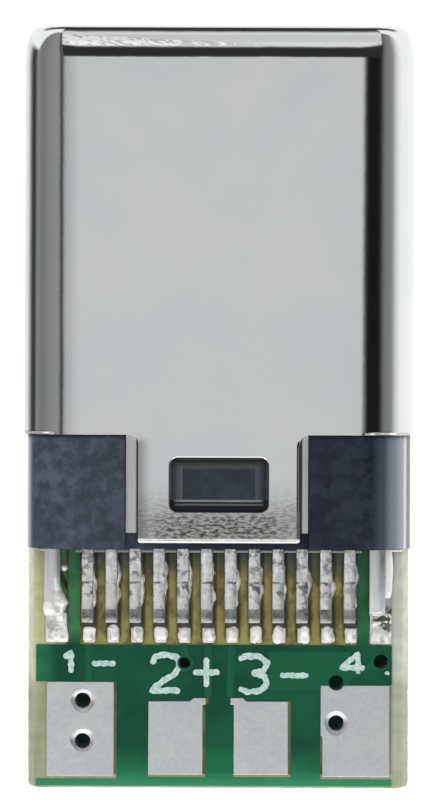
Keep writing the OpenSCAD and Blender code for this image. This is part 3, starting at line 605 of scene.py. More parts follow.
# painted shadow: a black line in the gap between the solder and the lacquer right of the left leg
from_gap_shadow = abs(across + 3.263 + (from_front + 0.667) * 0.46)
gap_shadow = fade(from_gap_shadow, 0.07, 0.04) * fade(from_front, -0.45, -0.5) * fade(from_front, -0.9, -0.84)
paint(shader, lay(
    blend(fade(mottle, 0.8, 1.25), (0.84, 0.86, 0.9), (0.93, 0.95, 0.95)),
    (bead_end, (0.86, 0.86, 0.82)),
    (under_tips * 0.92, flux_and_pin_shade),
    (by_leg, sooted),
    (beside_leg, blend(gap_shadow * 0.9, burnt, (0.035, 0.034, 0.032))),
), fade(mottle, 0.75, 1.3, 0.5, 0.38))
bumps(shader, grain(place, 2.4, 3, 0.55, (1.4, 0.8, 1)), 0.006)
for x, y, r in (vias[0], vias[1], vias[3]):
    spread = place.vector("DISTANCE", (x, y, pad_top), "Value") - grain(place, 3, 1) * 0.12
    bumps(shader, fade(spread, r - 0.09, r + 0.045), 0.035)

plus_step, plus_step_len, step_run = 0.04, 1.05, 0.03
low, high = pad_box("plus_pad")
step_y = high[1] - plus_step_len
plus_outline = [(low[0] + plus_step, low[1]), (high[0], low[1]), high, (low[0], high[1]),
                (low[0], step_y), (low[0] + plus_step, step_y - step_run)]
for node, outline in (
        ("minus_pad", rounded_box(*pad_box("minus_pad"), open_r)),
        ("data_plus_pad", data_outline("data_plus_pad")),
        ("data_minus_pad", data_outline("data_minus_pad")),
        ("plus_pad", plus_outline)):
    pad = prisms(node + "_tin", [outline], board_top, pad_top)
    cut(pad, drills(drill_play))
    round_edges(pad, tin_edge)
    finish_piece(pad, "tinned_pad", node, material=tin_pads, smooth=20)

shield_low, shield_high = pad_box("shield_pads")
pad_in, pad_right = shield_low[0] + shield_w, shield_high[0] - shield_w
shield_tin = prisms("shield_pads_tin", [
    rounded_box(shield_low, (pad_in, shield_high[1]), shield_r),
    rounded_box((pad_right, shield_low[1]), shield_high, shield_r),
], board_top, pad_top)
round_edges(shield_tin, shield_edge, 3)
finish_piece(shield_tin, "tinned_pad", "shield_pads", material=tin_pads)

bm = bmesh.new()
for x, y, r in vias:
    bore, wall = r + bore_play, r + via_wall
    profile = [(bore, board_low.z), (bore, board_top), (wall, board_top), (wall, board_low.z)]
    loops = [[bm.verts.new((px, py, z)) for px, py in circle(x, y, radius)] for radius, z in profile]
    for inner, outer in zip(loops, loops[1:] + loops[:1]):
        ring_faces(bm, inner, outer)
hole_tin = new_piece("hole_plating", bm, mend=True)
finish_piece(hole_tin, "tinned_pad", "plated_holes", material=tin_pads)


# Chip resistor on the underside: a ceramic block glazed black, with silvered end caps soldered to two pads.
# It tells the socket which way current may flow.
def edged_copy(node, name, width, segments=2, angle=30):
    """A copy of a solid with its triangles joined into whole faces and its edges rounded."""
    bm = bmesh.new()
    bm.from_mesh(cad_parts[node].data)
    bmesh.ops.scale(bm, vec=(1 / mm,) * 3, verts=bm.verts)
    same_point, same_face = 0.0004, math.radians(0.5)
    bmesh.ops.remove_doubles(bm, verts=bm.verts, dist=same_point)
    bmesh.ops.dissolve_limit(bm, angle_limit=same_face, verts=bm.verts, edges=bm.edges)
    piece = new_piece(name, bm)
    own_normals = piece.data.attributes.get("custom_normal")
    if own_normals:
        piece.data.attributes.remove(own_normals)
    round_edges(piece, width, segments, angle)
    return piece


black_glaze, shader, place, *_ = new_finish("black_glaze", Roughness=0.28)
paint(shader, blend(fade(grain(place, 9, 3), 0.4, 0.7), (0.008, 0.008, 0.01), (0.022, 0.022, 0.025)))
bumps(shader, grain(place, 18, 2), 0.004)
bright_solder, shader, place, *_ = new_finish("bright_solder", Metallic=1.0, Roughness=0.4)
frost = fade(grain(place, 7, 4, 0.6), 0.38, 0.68)
paint(shader, blend(frost, (0.84, 0.84, 0.83), (0.95, 0.95, 0.94)), fade(frost, 0, 1, 0.34, 0.55))
bumps(shader, grain(place, 7, 2), 0.008)
for node, name, edge, slot, material in (
        ("resistor_body", "chip_ceramic", 0.02, "chip_body", black_glaze),
        ("resistor_caps", "chip_caps", 0.015, "solder", bright_solder),
        ("resistor_pads", "chip_pads", 0.015, "tinned_pad", tin_pads),
        ("resistor_solder", "chip_solder", 0.02, "solder", bright_solder)):
    finish_piece(edged_copy(node, name, edge), slot, node, material=material)


# Rear mouldings: two half blocks of dark filled nylon that clamp the contact rows and the latch plate between
# them. A raised catch in each snaps into the window of the tongue. The surface is satin and a little cloudy.
shell_low, shell_high = box_mm("plug_shell")
mid_z = (shell_low.z + shell_high.z) / 2
tongue_end, tongue_len = shell_low.y, 2.25
tube_end = tongue_end + tongue_len
window_w, window_len, window_r, window_back = 2.06, 1.13, 0.17, 0.64
window_half, window_y = window_w / 2, tongue_end + window_back
window_front = window_y + window_len
catch_play, catch_heel, catch_side, catch_end, block_edge = 0.05, 0.12, 0.22, 0.13, 0.025
catch_back, catch_front = window_y + catch_heel, window_front - catch_play
catch_half = window_half - catch_play
flat_half, flat_back, flat_front = catch_half - catch_side, catch_back + catch_end, catch_front - catch_end
filled_nylon, shader, place, across, along, *_ = new_finish(
    "filled_nylon", Roughness=0.45, Specular_IOR_Level=0.25)
outward = abs(across)
haze = fade(grain(place, 1.3, 4, 0.65) + grain(place, 4.5, 3, 0.6), 0.78, 1.28)
nylon = blend(haze, (0.007, 0.011, 0.023), (0.02, 0.027, 0.042))
# the nylon lighter towards the left
left_lighter_tone = blend(haze, (0.033, 0.045, 0.067), (0.07, 0.09, 0.125))
# painted light on the catch in the window: its sloped sides and front slope lighter, its back slope kept dark
lit_side_slopes = blend(fade(across, -0.5, 0.5), (0.11, 0.115, 0.125), (0.08, 0.095, 0.12))
catch_tone_and_light = lay(
    blend(haze, (0.02, 0.026, 0.037), (0.032, 0.04, 0.055)),
    (fade(outward, flat_half - 0.01, flat_half + 0.01), lit_side_slopes),
    (fade(along, flat_front - 0.09, flat_front + 0.06), (0.085, 0.09, 0.088)),
    (fade(along, flat_back + 0.01, flat_back - 0.01), (0.03, 0.032, 0.035)),
)
# painted highlight lines along the two edges of the catch's back slope
for edge in (flat_back - 0.015, catch_back + 0.03):
    edge_highlight = fade(abs(along - edge), 0.03, 0.015) * fade(outward, catch_half, catch_half - 0.1)
    catch_tone_and_light = blend(edge_highlight, catch_tone_and_light, (0.3, 0.31, 0.31))
in_window = fade(outward, window_half + 0.02, window_half) * fade(along, window_y, catch_back)
in_window *= fade(along, window_front + 0.02, window_front)
paint(shader, lay(
    blend(fade(across, -3.4, 0.5, 1, 0), nylon, left_lighter_tone),
    # painted sheen growing towards the right side of the block, and painted highlight lines along both side
    # edges, dimmer just outside the right one
    (fade(across, 3.15, 3.4), (0.045, 0.055, 0.07)),
    (fade(across, 3.42, 3.62), (0.15, 0.18, 0.21)),
    (fade(across, 3.62, 3.88), (0.32, 0.35, 0.38)),
    (fade(across, -3.9, -4.08), (0.62, 0.64, 0.66)),
    (fade(across, 3.86, 3.89) * fade(across, 3.95, 3.92), (0.62, 0.64, 0.65)),
    (fade(across, 3.93, 3.97), (0.2, 0.21, 0.22)),
    # painted shadow on the block along the rear edge of the tube
    (fade(along, tube_end - 0.1, tube_end - 0.02) * 0.7, (0.004, 0.005, 0.007)),
    (in_window, catch_tone_and_light),
    # painted highlight on the moulding where it reaches over the board between the contacts
    (fade(along, board_front - 0.02, board_front - 0.06), (0.26, 0.29, 0.28)),
), fade(haze, 0, 1, 0.36, 0.55))
bumps(shader, grain(place, 16, 3), 0.004)
for half in ("upper", "lower"):
    block = edged_copy(half + "_carrier", half + "_block", block_edge, 2, 35)
    finish_piece(block, "black_moulding", half + "_carrier", material=filled_nylon, smooth=32)


# Contacts: twelve strips a side, stamped and bent from tinned copper alloy. Each is straight in the moulding,
# bows into the mating slot as a spring beam, and comes out behind as a flat tail that lies on its pad.
contact_w, beam_w, contact_t, contact_edge, contact_bend = 0.25, 0.2, 0.12, 0.022, 0.09
plug_front = shell_high.y
tail_z, beam_z = pad_top + contact_t / 2, mid_z + 0.61
elbow_y, elbow_z, beam_len = plug_front - 2.6, mid_z + 0.36, 2.5
# places along the board and heights of the points where a contact bends
contact_route = [
    (tip_y, tail_z + 0.034), (tip_y + 0.06, tail_z + 0.05), (tip_y + 0.26, tail_z),
    (board_front - 0.7, tail_z), (board_front - 0.08, beam_z), (elbow_y - beam_len - 0.1, beam_z),
    (elbow_y - 0.14, elbow_z + 0.014), (elbow_y, elbow_z), (elbow_y + 0.14, elbow_z + 0.028),
    (elbow_y + 0.42, beam_z - 0.05),
]


def tree_inputs(name, **sockets):
    """Starts a geometry tree with named inputs, and returns it with those inputs as levels."""
    sockets = {"Geometry": "Geometry", **sockets}
    made = bpy.data.node_groups.new(name, "GeometryNodeTree")
    made.interface.new_socket("Geometry", in_out="OUTPUT", socket_type="NodeSocketGeometry")
    for key, kind in sockets.items():
        made.interface.new_socket(key.replace("_", " "), in_out="INPUT", socket_type="NodeSocket" + kind)
    entry = made.nodes.new("NodeGroupInput")
    return made, {key: Level(entry, place) for place, key in enumerate(sockets)}


def joined(x=0, y=0, z=0):
    """A vector of three levels or numbers."""
    return Level(add(tree_of(x, y, z), "ShaderNodeCombineXYZ", {0: x, 1: y, 2: z}))


def step(kind, values, **settings):
    """One node of geometry, in the tree of the levels that it takes."""
    return Level(add(tree_of(*values.values()), "GeometryNode" + kind, values, **settings))


def row_of(geometry, count, pitch):
    """Instances of a geometry in a row across the board, centred on it."""
    first = joined((count - 1) * -0.5 * pitch)
    values = {"Count": count, "Start Location": first, "Offset": joined(pitch)}
    return step("InstanceOnPoints", {0: step("MeshLine", values, mode="OFFSET"), 2: geometry})


def end_tree(geometry, material):
    """Sets the material of a tree's geometry and puts it out."""
    dressed = step("SetMaterial", {0: geometry, "Material": material})
    dressed.tree.links.new(dressed.socket, dressed.tree.nodes.new("NodeGroupOutput").inputs[0])


def grow_with(piece, tree, **values):
    """Runs a geometry tree on a piece, with its inputs set by their own identifiers."""
    grower = piece.modifiers.new(tree.name, "NODES")
    grower.node_group = tree
    for socket in tree.interface.items_tree:
        key = socket.name.replace(" ", "_")
        if socket.in_out == "INPUT" and key in values:
            grower[socket.identifier] = values[key]
    return settle(piece)


strip_row, given = tree_inputs(
    "bent_strip_row", Width="Float", Beam_width="Float", Beam_start="Float", Thickness="Float", Edge="Float",
    Bend="Float", Count="Int", Pitch="Float", Seed="Int", Finish="Material")
route = step("MeshToCurve", {0: given["Geometry"]})
bend = {0: route, "Radius": given["Bend"], "Limit Radius": True, "Count": 5}
route = step("SetCurveNormal", {0: step("FilletCurve", bend, mode="POLY")}, mode="Z_UP")
sides = {"Width": given["Width"], "Height": given["Thickness"]}
section = step("CurvePrimitiveQuadrilateral", sides, mode="RECTANGLE")
section = step("FilletCurve", {0: section, "Radius": given["Edge"], "Count": 3}, mode="POLY")
strip = step("CurveToMesh", {0: route, 1: section, "Fill Caps": True})
x, y, z = split(Level(add(strip_row, "GeometryNodeInputPosition")))
in_slot = Level(add(strip_row, "FunctionNodeCompare", {0: y, 1: given["Beam_start"]},
                    data_type="FLOAT", operation="GREATER_THAN"))
slim = joined(x * work("DIVIDE", given["Beam_width"], given["Width"]), y, z)
row = row_of(step("SetPosition", {0: strip, 1: in_slot, 2: slim}), given["Count"], given["Pitch"])
chance = {2: 0.0, 3: 1.0, "Seed": given["Seed"]}
shade = Level(add(strip_row, "FunctionNodeRandomValue", chance, data_type="FLOAT"), 1)
row = step("StoreNamedAttribute", {0: row, "Name": "own_shade", "Value": shade},
           data_type="FLOAT", domain="INSTANCE")
end_tree(step("RealizeInstances", {0: row}), given["Finish"])

contact_tin, shader, place, across, along, *_ = new_finish("contact_tin", Metallic=1.0, Roughness=0.3)
own = Level(add(place.tree, "ShaderNodeAttribute", attribute_name="own_shade"), "Fac")
place = place.vector("ADD", joined(own * 7, own * 3))
from_tip, from_bend = along - tip_y, along - (board_front - 0.71)
on_ramp = fade(from_bend, -0.01, 0.03)
streak = fade(grain(place, 14, 2, 0.5, (1, 0.12, 1)), 0.35, 0.65)
dull = fade(grain(place, 4.5, 4, 0.65), 0.56, 0.72) * fade(own, 0.05, 0.5) | on_ramp * streak * 0.6
# painted shade in the crease where each contact bends up from its tail, broken by noise
shaded_crease = fade(from_bend, -0.05, -0.02) * fade(from_bend, 0.03, 0) * fade(grain(place, 5, 2), 0.35, 0.6)
smudge = fade(grain(place, 4.2, 4, 0.65), 0.48, 0.6) * fade(from_bend, 0.05, 0.2)
blot = fade(grain(place, 5.5, 3), 0.5, 0.6) * fade(from_bend, -0.38, -0.2) * fade(from_bend, 0.05, -0.02)
paint(shader, lay(
    blend(dull, (0.99, 0.99, 0.98), (0.42, 0.4, 0.41)),
    (on_ramp * 0.4, (0.6, 0.61, 0.63)),
    ((smudge | blot) * fade(own, 0.1, 0.45) * 0.85, (0.2, 0.2, 0.22)),
    (shaded_crease * 0.8, (0.1, 0.1, 0.1)),
    # painted shade over the upturned tips, darkest at their ends
    (fade(from_tip, 0.34, 0.16) * 0.4, (0.25, 0.23, 0.24)),
    (fade(from_tip, 0.06, 0.04), (0.52, 0.52, 0.51)),
), fade(grain(place, 6, 3), 0.3, 0.7, 0.24, 0.42))
bumps(shader, grain(place, 7, 3, 0.6), 0.012)
for half, up_sign in (("upper", 1), ("lower", -1)):
    bm = bmesh.new()
    points = [bm.verts.new((0, y, mid_z + up_sign * (z - mid_z))) for y, z in contact_route]
    for a, b in zip(points, points[1:]):
        bm.edges.new((a, b))
    strips = new_piece(half + "_contacts", bm)
    grow_with(strips, strip_row, Width=contact_w, Beam_width=beam_w, Beam_start=elbow_y - beam_len,
              Thickness=contact_t, Edge=contact_edge, Bend=contact_bend, Count=contact_count, Pitch=pitch,
              Seed=4, Finish=contact_tin)
    bm = bmesh.new()
    bm.from_mesh(strips.data)
    bmesh.ops.recalc_face_normals(bm, faces=bm.faces)
    bm.to_mesh(strips.data)
    bm.free()
    finish_piece(strips, "tinned_contact", *(f"{half}_contact_{k + 1}" for k in range(contact_count)))


# Latch plate and ground springs: spring steel, stamped. The plate lies between the mouldings, hooks into the
# socket with its two arms and is soldered by its two legs. A ground spring lies below each tongue.
latch_edge, spring_edge = 0.03, 0.015
spring_steel, shader, place, across, *_ = new_finish("spring_steel", Metallic=1.0, Roughness=0.34)
rolled = grain(place, 6, 3, 0.6, (1.6, 0.2, 1))
steel_tone = blend(fade(rolled, 0.35, 0.65), (0.72, 0.74, 0.75), (0.84, 0.86, 0.87))
# painted shadow on the spring plate under the tongue, seen as a dark line beside its edges
tongue_shadow = fade(across, -1.745, -1.71) * fade(across, 1.755, 1.72)
steel_tone = blend(tongue_shadow * 0.93, steel_tone, (0.03, 0.03, 0.03))
paint(shader, steel_tone, fade(rolled, 0.3, 0.7, 0.28, 0.42))
bumps(shader, rolled, 0.003)
latch = edged_copy("latch_plate", "latch_strip", latch_edge)
finish_piece(latch, "spring_steel", "latch_plate", material=spring_steel)
for half in ("upper", "lower"):
    spring = edged_copy(half + "_ground_spring", half + "_spring_plate", spring_edge)
    finish_piece(spring, "spring_steel", half + "_ground_spring", material=spring_steel)


# Nose lining: one moulding of black liquid-crystal plastic pressed into the tube. It forms the mating slot,
# with a groove for each contact and openings for the latch arms and the fingers of the ground springs.
liner_plastic, shader, place, *_ = new_finish("liner_plastic", Roughness=0.42)
flow = fade(grain(place, 3, 3, 0.6, (1, 0.3, 1)), 0.35, 0.7)
paint(shader, blend(flow, (0.012, 0.012, 0.014), (0.03, 0.03, 0.034)), fade(flow, 0, 1, 0.34, 0.5))
bumps(shader, grain(place, 20, 2), 0.004)
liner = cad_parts["nose_moulding"]
liner.data.materials.clear()
liner.data.materials.append(liner_plastic)


# Plug shell: a tube drawn from one sheet of steel and plated with bright nickel. Its front lip is rolled in
# around the mouth, and a tongue with a punched window runs back over each face of the rear mouldings.
shell_w, shell_h = shell_high.x - shell_low.x, shell_high.z - shell_low.z
shell_wall = 0.25
lip_len, lip_depth, lip_tip_r, lip_side_share = 0.73, 0.44, 0.32, 0.5
mouth_w, mouth_h = 7.0, 1.25
tongue_half, root_r, tongue_r = 1.68, 0.19, 0.06
window_roll, tongue_roll, shell_edge = 0.075, 0.05, 0.03
lip_rest = lip_len - lip_tip_r
lip_back_r = (lip_rest ** 2 + lip_depth ** 2 - lip_tip_r ** 2) / (2 * (lip_depth - lip_tip_r))
lip_turn = math.asin(lip_rest / (lip_back_r - lip_tip_r))


def oval(width, height, y, steps=56):
    """Ring round a tube with flat faces and round sides."""
    radius = height / 2
    ring = []
    for side, start in ((1, 90), (-1, -90)):
        middle = (side * (width / 2 - radius), mid_z)
        ring += [(x, y, z) for x, z in arc(middle, radius, start, start - 180, steps)]
    return ring


def lip_rings(inset, steps):
    """Rings over the rolled lip, from the tube to the mouth, on a surface that lies inside the outer one.
    The lip turns tighter at the round sides than on the flat faces."""
    back_r, tip_r = lip_back_r - inset, lip_tip_r - inset
    turns = [lip_turn * k / steps for k in range(steps + 1)]
    course = [(lip_back_r - back_r * math.cos(a), back_r * math.sin(a) - lip_len) for a in turns]
    turns = [lip_turn + (math.pi / 2 - lip_turn) * k / steps for k in range(1, steps + 1)]
    course += [(lip_depth - tip_r * math.cos(a), tip_r * math.sin(a) - lip_tip_r) for a in turns]
    rings = []
    for depth, from_mouth in course:
        side_depth = inset + (depth - inset) * lip_side_share
        rings.append(oval(shell_w - 2 * side_depth, shell_h - 2 * depth, plug_front + from_mouth))
    return rings


inner_w, inner_h = shell_w - 2 * shell_wall, shell_h - 2 * shell_wall
skin = [oval(shell_w, shell_h, tongue_end)] + lip_rings(0, 14)
skin += [oval(mouth_w, mouth_h, plug_front), oval(mouth_w, mouth_h, plug_front - shell_wall)]
skin += list(reversed(lip_rings(shell_wall, 6))) + [oval(inner_w, inner_h, tongue_end)]
bm = bmesh.new()
loops = [[bm.verts.new(point) for point in ring] for ring in skin]
for here, there in zip(loops, loops[1:] + loops[:1]):
    ring_faces(bm, here, there)
shell = new_piece("nickel_tube", bm, mend=True)

behind, aside = tongue_end - 1, 2 * shell_w
side_cut = [(tongue_half - tongue_r, behind), (aside, behind), (aside, tube_end)]
side_cut += arc((tongue_half + root_r, tube_end - root_r), root_r, 90, 180, 10)
side_cut += arc((tongue_half - tongue_r, tongue_end + tongue_r), tongue_r, 0, -90, 5)
other_cut = [(-x, y) for x, y in reversed(side_cut)]
window = rounded_box((-window_half, window_y), (window_half, window_front), window_r, 10)
cut(shell, (side_cut, other_cut, window), -1, shell_h + 1)


def roll_edges(piece, width, share_at):
    """Rounds the outer edges of punched openings, as the punch leaves them, by a share of a width."""
    bm = bmesh.new()
    bm.from_mesh(piece.data)
    bm.normal_update()
    layers = bm.edges.layers.float
    weights = layers.get("bevel_weight_edge") or layers.new("bevel_weight_edge")
    for edge in bm.edges:
        edge[weights] = 0
        middle = (edge.verts[0].co + edge.verts[1].co) / 2
        on_face = abs(abs(middle.z - mid_z) - shell_h / 2) < 0.001
        by_wall = min(abs(face.normal.z) for face in edge.link_faces) < 0.1
        if on_face and by_wall:
            edge[weights] = share_at(middle)
    bm.to_mesh(piece.data)
    bm.free()
    roll = piece.modifiers.new("rolling", "BEVEL")
    roll.width, roll.segments, roll.limit_method = width, 4, "WEIGHT"
    settle(piece)


def window_share(at):
    """Full rolling at the front of the window, less along its sides and its back."""
    in_reach = abs(at.x) < window_half + 0.01 and window_y - 0.01 < at.y < window_front + 0.01
    return in_reach * (0.4 + 0.6 * max(0, (at.y - window_front + window_r) / window_r))


def tongue_share(at):
    """Rolling of the tongue's own sides and end."""
    return float(at.y < tube_end + 0.01 and abs(at.x) > window_half + 0.1 or at.y < tongue_end + 0.1)


roll_edges(shell, window_roll, window_share)
roll_edges(shell, tongue_roll, tongue_share)
round_edges(shell, shell_edge, 3, 40)

bright_nickel, shader, place, across, along, up = new_finish("bright_nickel", Metallic=1.0, Roughness=0.08)
from_tube, from_tongue, from_mouth = along - tube_end, along - tongue_end, along - plug_front
specks = fade(grain(place, 9, 2), 0.72, 0.8)
past_end = fade(from_tongue, 0.03, 0.08)
crumple = fade(from_tongue, 1.5, 0.2) * past_end
wrinkle = grain(place, 15, 3, 0.55, (0.5, 1.3, 1))
# painted shade in the hollows of the crumpled tongue, lighter on its ridges
fold_shade = blend(fade(wrinkle, 0.38, 0.6), (0.12, 0.12, 0.115), (0.62, 0.62, 0.6))
# painted shadow on the tongue behind the window
window_shadow = fade(along, window_y + 0.1, window_y - 0.1) * fade(abs(across), 1.65, 0.9, 0.45, 1)
# painted shade along the left side of the tongue
left_side_shade = fade(across, 0.3 - tongue_half, -tongue_half) * fade(from_tube, 0, -0.2) * past_end
on_flank = fade(across, 2.9, 3.3) | fade(across, -3.3, -3.6)
# painted shade on the rounded sides at the rear end of the tube, darker on the right
flank_end_shade = on_flank * fade(from_tube, 0.09, 0.06) * fade(across, 3.7, 3.5)
flank_shade_tone = blend(fade(across, 0, 1), (0.42, 0.42, 0.42), (0.19, 0.19, 0.19))
# painted highlights on the lip: a greyer band with white slanted streaks over its left half
drift = from_mouth + (across + 3.3) * 0.05
on_lip = fade(from_mouth, -0.5, -0.44) * fade(drift, -0.2, -0.25) * fade(up, mid_z, mid_z + 0.2)
on_lip *= fade(across, 1.6, 0.2) * fade(across, -3.34, -3.24)
slant = {"Vector": place, "Rotation": (0, 0, math.radians(12))}
slanted = Level(add(place.tree, "ShaderNodeMapping", slant))
lip_glint = grain(slanted, 7, 1, 0.5, (0.6, 3.2, 0.3)) + fade(across, -3.3, 0.8, 0.08, -0.1)
paint(shader, lay(
    blend(fade(grain(place, 0.45, 3, 0.55), 0.35, 0.65), (0.735, 0.76, 0.77), (0.77, 0.775, 0.775)),
    (specks * 0.25, (0.5, 0.5, 0.52)),
    (crumple * 0.5 | crumple * window_shadow, fold_shade),
    (left_side_shade * 0.65, (0.2, 0.2, 0.2)),
    (fade(from_tongue, 0.13, 0.07), (0.5, 0.5, 0.49)),
    (flank_end_shade, flank_shade_tone),
    (on_lip * 0.8, (0.58, 0.59, 0.59)),
    (fade(lip_glint, 0.48, 0.53) * on_lip, (1.0, 1.0, 1.0)),
), fade(crumple, 0, 1, 0.08, 0.3))
flank_edge = on_flank * fade(from_tube, 0.09, -0.02)
side_edge = fade(across, tongue_half - 0.08, tongue_half + 0.02) * fade(from_tube, -0.05, -0.3)
for height, depth in (
        (grain(place, 0.8, 2), 0.006), (grain(place, 6, 3, 0.6), 0.001), (wrinkle * crumple, 0.007),
        (fade(from_tongue, -0.02, 0.11), 0.042), (fade(flank_edge, 0, 1, 1, 0), 0.036),
        (fade(side_edge, 0, 1, 1, 0), 0.022)):
    bumps(shader, height, depth)
finish_piece(shell, "bright_nickel", "plug_shell", material=bright_nickel, smooth=42)


# Contact pads and solder: a tinned pad below each tail, and the solder that an iron has drawn over its end.
# The beads are dragged towards the wire pads, frosted, and no two are alike.
pads_low, pads_high = box_mm("upper_contact_pads")
pad_r, pad_edge = 0.05, 0.015
bead_half, bead_crown, bead_sunk = 0.12, 0.075, 0.01
bead_start, bead_stop = pads_low.y + 0.02, tip_y - 0.1
wet_start, wet_stop = tip_y + 0.3, board_front - 0.25
wet_root, wet_rise, wet_rim = 0.03, 0.09, 0.01
bead_row, given = tree_inputs(
    "bead_row", Count="Int", Pitch="Float", Lump="Float", Lump_size="Float", Sway="Float", Sway_size="Float",
    Seed="Int", Finish="Material")
row = row_of(given["Geometry"], given["Count"], given["Pitch"])
spot = Level(add(bead_row, "GeometryNodeInputPosition")).vector("ADD", joined(z=given["Seed"]))


def wander(size, reach, detail):
    """A random push of each point, alike for points that lie closer than a size."""
    cloud = add(bead_row, "ShaderNodeTexNoise", {"Vector": spot, "Scale": size, "Detail": detail})
    return Level(cloud, "Color").vector("SUBTRACT", (0.5, 0.5, 0.5)).vector("SCALE", reach)


sway = wander(given["Sway_size"], given["Sway"], 0.0).vector("MULTIPLY", (1, 1, 0))
push = wander(given["Lump_size"], given["Lump"], 2.0).vector("ADD", sway)
end_tree(step("SetPosition", {0: step("RealizeInstances", {0: row}), 3: push}), given["Finish"])

frosted_solder, shader, place, *_ = new_finish(
    "frosted_solder", Metallic=0.35, Roughness=0.45, Specular_IOR_Level=0.4)
crystals = fade(grain(place, 5, 4, 0.6), 0.36, 0.56)
paint(shader, blend(crystals, (0.56, 0.55, 0.53), (0.95, 0.95, 0.92)))
bumps(shader, grain(place, 9, 3), 0.012)


def close_grid(bm, grid):
    """Faces over rows of points, and one below that joins their rim."""
    for low_row, high_row in zip(grid, grid[1:]):
        for i in range(len(low_row) - 1):
            bm.faces.new((low_row[i], low_row[i + 1], high_row[i + 1], high_row[i]))
    rim = grid[0] + [row[-1] for row in grid[1:]]
    rim += list(reversed(grid[-1][:-1])) + [row[0] for row in reversed(grid[1:-1])]
    bm.faces.new(list(reversed(rim)))


def solder_bead(bm, start, stop, base, up_sign):
    """A drop of solder over the end of a pad, round in plan and section, on a closed underside."""
    across_steps, along_steps = 10, 18
    grid = []
    for j in range(along_steps + 1):
        v = j / along_steps
        end = 1 - abs(2 * v - 1) ** 4
        width = bead_half * math.sqrt(max(0.02, end))
        grid.append([])
        for i in range(across_steps + 1):
            u = 2 * i / across_steps - 1
            dome = math.sqrt(max(0, 1 - u ** 4)) * math.sqrt(max(0, end))
            point = (u * width, start + v * (stop - start), base + up_sign * bead_crown * dome)
            grid[-1].append(bm.verts.new(point))
    close_grid(bm, grid)


def wetted_side(bm, start, stop, base, up_sign):
    """Solder drawn up along the right side of a tail, from the rim of its pad."""
    reach, side, steps = contact_pad_x + contact_pad_w / 2, contact_w / 2, 40
    root = side - wet_root
    section = [(root, -wet_root), (reach + wet_rim, -wet_root), (reach - wet_rim, 0.02), (0.14, 0.06),
               (side - wet_rim, wet_rise), (root, wet_rise)]
    rows = []
    for k in range(steps + 1):
        y = start + (stop - start) * k / steps
        share = math.sqrt(min(1, k / 8 + 0.02, (steps - k) / 12 + 0.02))
        points = [(root + (x - root) * share, y, base + up_sign * z * share) for x, z in section]
        rows.append([bm.verts.new(point) for point in points])
    for here, there in zip(rows, rows[1:]):
        ring_faces(bm, here, there)
    bm.faces.new(rows[0])
    bm.faces.new(list(reversed(rows[-1])))


for half, up_sign in (("upper", 1), ("lower", -1)):
    face, top = (mid_z + up_sign * (level - mid_z) for level in (board_top, pad_top))
    outline = rounded_box((contact_pad_x - contact_pad_w / 2, pads_low.y),
                          (contact_pad_x + contact_pad_w / 2, pads_high.y), pad_r)
    pad_strip = prisms(half + "_contact_pads_tin", [outline], min(face, top), max(face, top))
    round_edges(pad_strip, pad_edge)
    grow_with(pad_strip, bead_row, Count=contact_count, Pitch=pitch, Lump=0.0, Lump_size=1.0, Sway=0.0,
              Sway_size=1.0, Seed=1, Finish=tin_pads)
    finish_piece(pad_strip, "tinned_pad", half + "_contact_pads")

    bm = bmesh.new()
    solder_bead(bm, bead_start, bead_stop, top - up_sign * bead_sunk, up_sign)
    bmesh.ops.translate(bm, vec=(contact_pad_x, 0, 0), verts=bm.verts)
    wetted_side(bm, wet_start, wet_stop, top, up_sign)
    beads = new_piece(half + "_solder_beads", bm, mend=True)
    grow_with(beads, bead_row, Count=contact_count, Pitch=pitch, Lump=0.08, Lump_size=6.0, Sway=0.16,
              Sway_size=2.6, Seed=3, Finish=frosted_solder)
    finish_piece(beads, "solder", half + "_solder", smooth=80)


# Solder of the two legs: a smooth mass runs down beside the left leg, where the iron was pulled away, a strip
# of solder with a painted highlight fills the edge of the right pad, and lumps lie over the end of each pad.
def solder_patch(bm, stations, base, lumps, seed):
    """A closed mass of solder through some stations, each a place along the board, two sides and a height."""
    steps_x, steps_y = 20, 48
    first, last = stations[0][0], stations[-1][0]
    grid = []
    for j in range(steps_y + 1):
        y = first + (last - first) * j / steps_y
        here, there = next((a, b) for a, b in zip(stations, stations[1:]) if b[0] <= y + 1e-6)
        share = (y - here[0]) / (there[0] - here[0])
        share = share * share * (3 - 2 * share)
        left, right, height = (a + (b - a) * share for a, b in zip(here[1:], there[1:]))
        grid.append([])
        for i in range(steps_x + 1):
            u = 2 * i / steps_x - 1
            x = left + (right - left) * (u + 1) / 2
            lump = 1 + lumps * (ripple(x, y, 5, seed) + 0.4 * ripple(x, y, 13, seed))
            dome = math.sqrt(max(0, 1 - abs(u) ** 3))
            grid[-1].append(bm.verts.new((x, y, base + height * dome * max(0.1, lump))))
    close_grid(bm, grid)


leg_side, leg_shift, leg_rise, heap_root = 0.16, -0.08, 0.2, 0.012
left_leg, right_leg = leg_shift - leg_x, leg_shift + leg_x
leg_outer, leg_inner = right_leg + leg_side, right_leg - leg_side
leg_end = board_front - 1.36
pad_outer, pad_far = shield_low[0], shield_high[0]
burnt_solder = frosted_solder.copy()
burnt_solder.name = "burnt_solder"
shader = burnt_solder.node_tree.nodes["Principled BSDF"]
place, across, along, up = place_of(burnt_solder.node_tree)
frosted = Level(shader.inputs["Base Color"].links[0].from_node, 2)
# painted highlight: the solder strip beside the right leg made near white
white_lit_strip = fade(across, right_leg, right_leg + 0.1) * fade(along, leg_end + 0.25, leg_end + 0.3)
heap_tone = blend(white_lit_strip, frosted, (0.97, 0.97, 0.93))
soot, grey, white = (0.018, 0.018, 0.016), (0.42, 0.42, 0.42), (0.97, 0.97, 0.95)
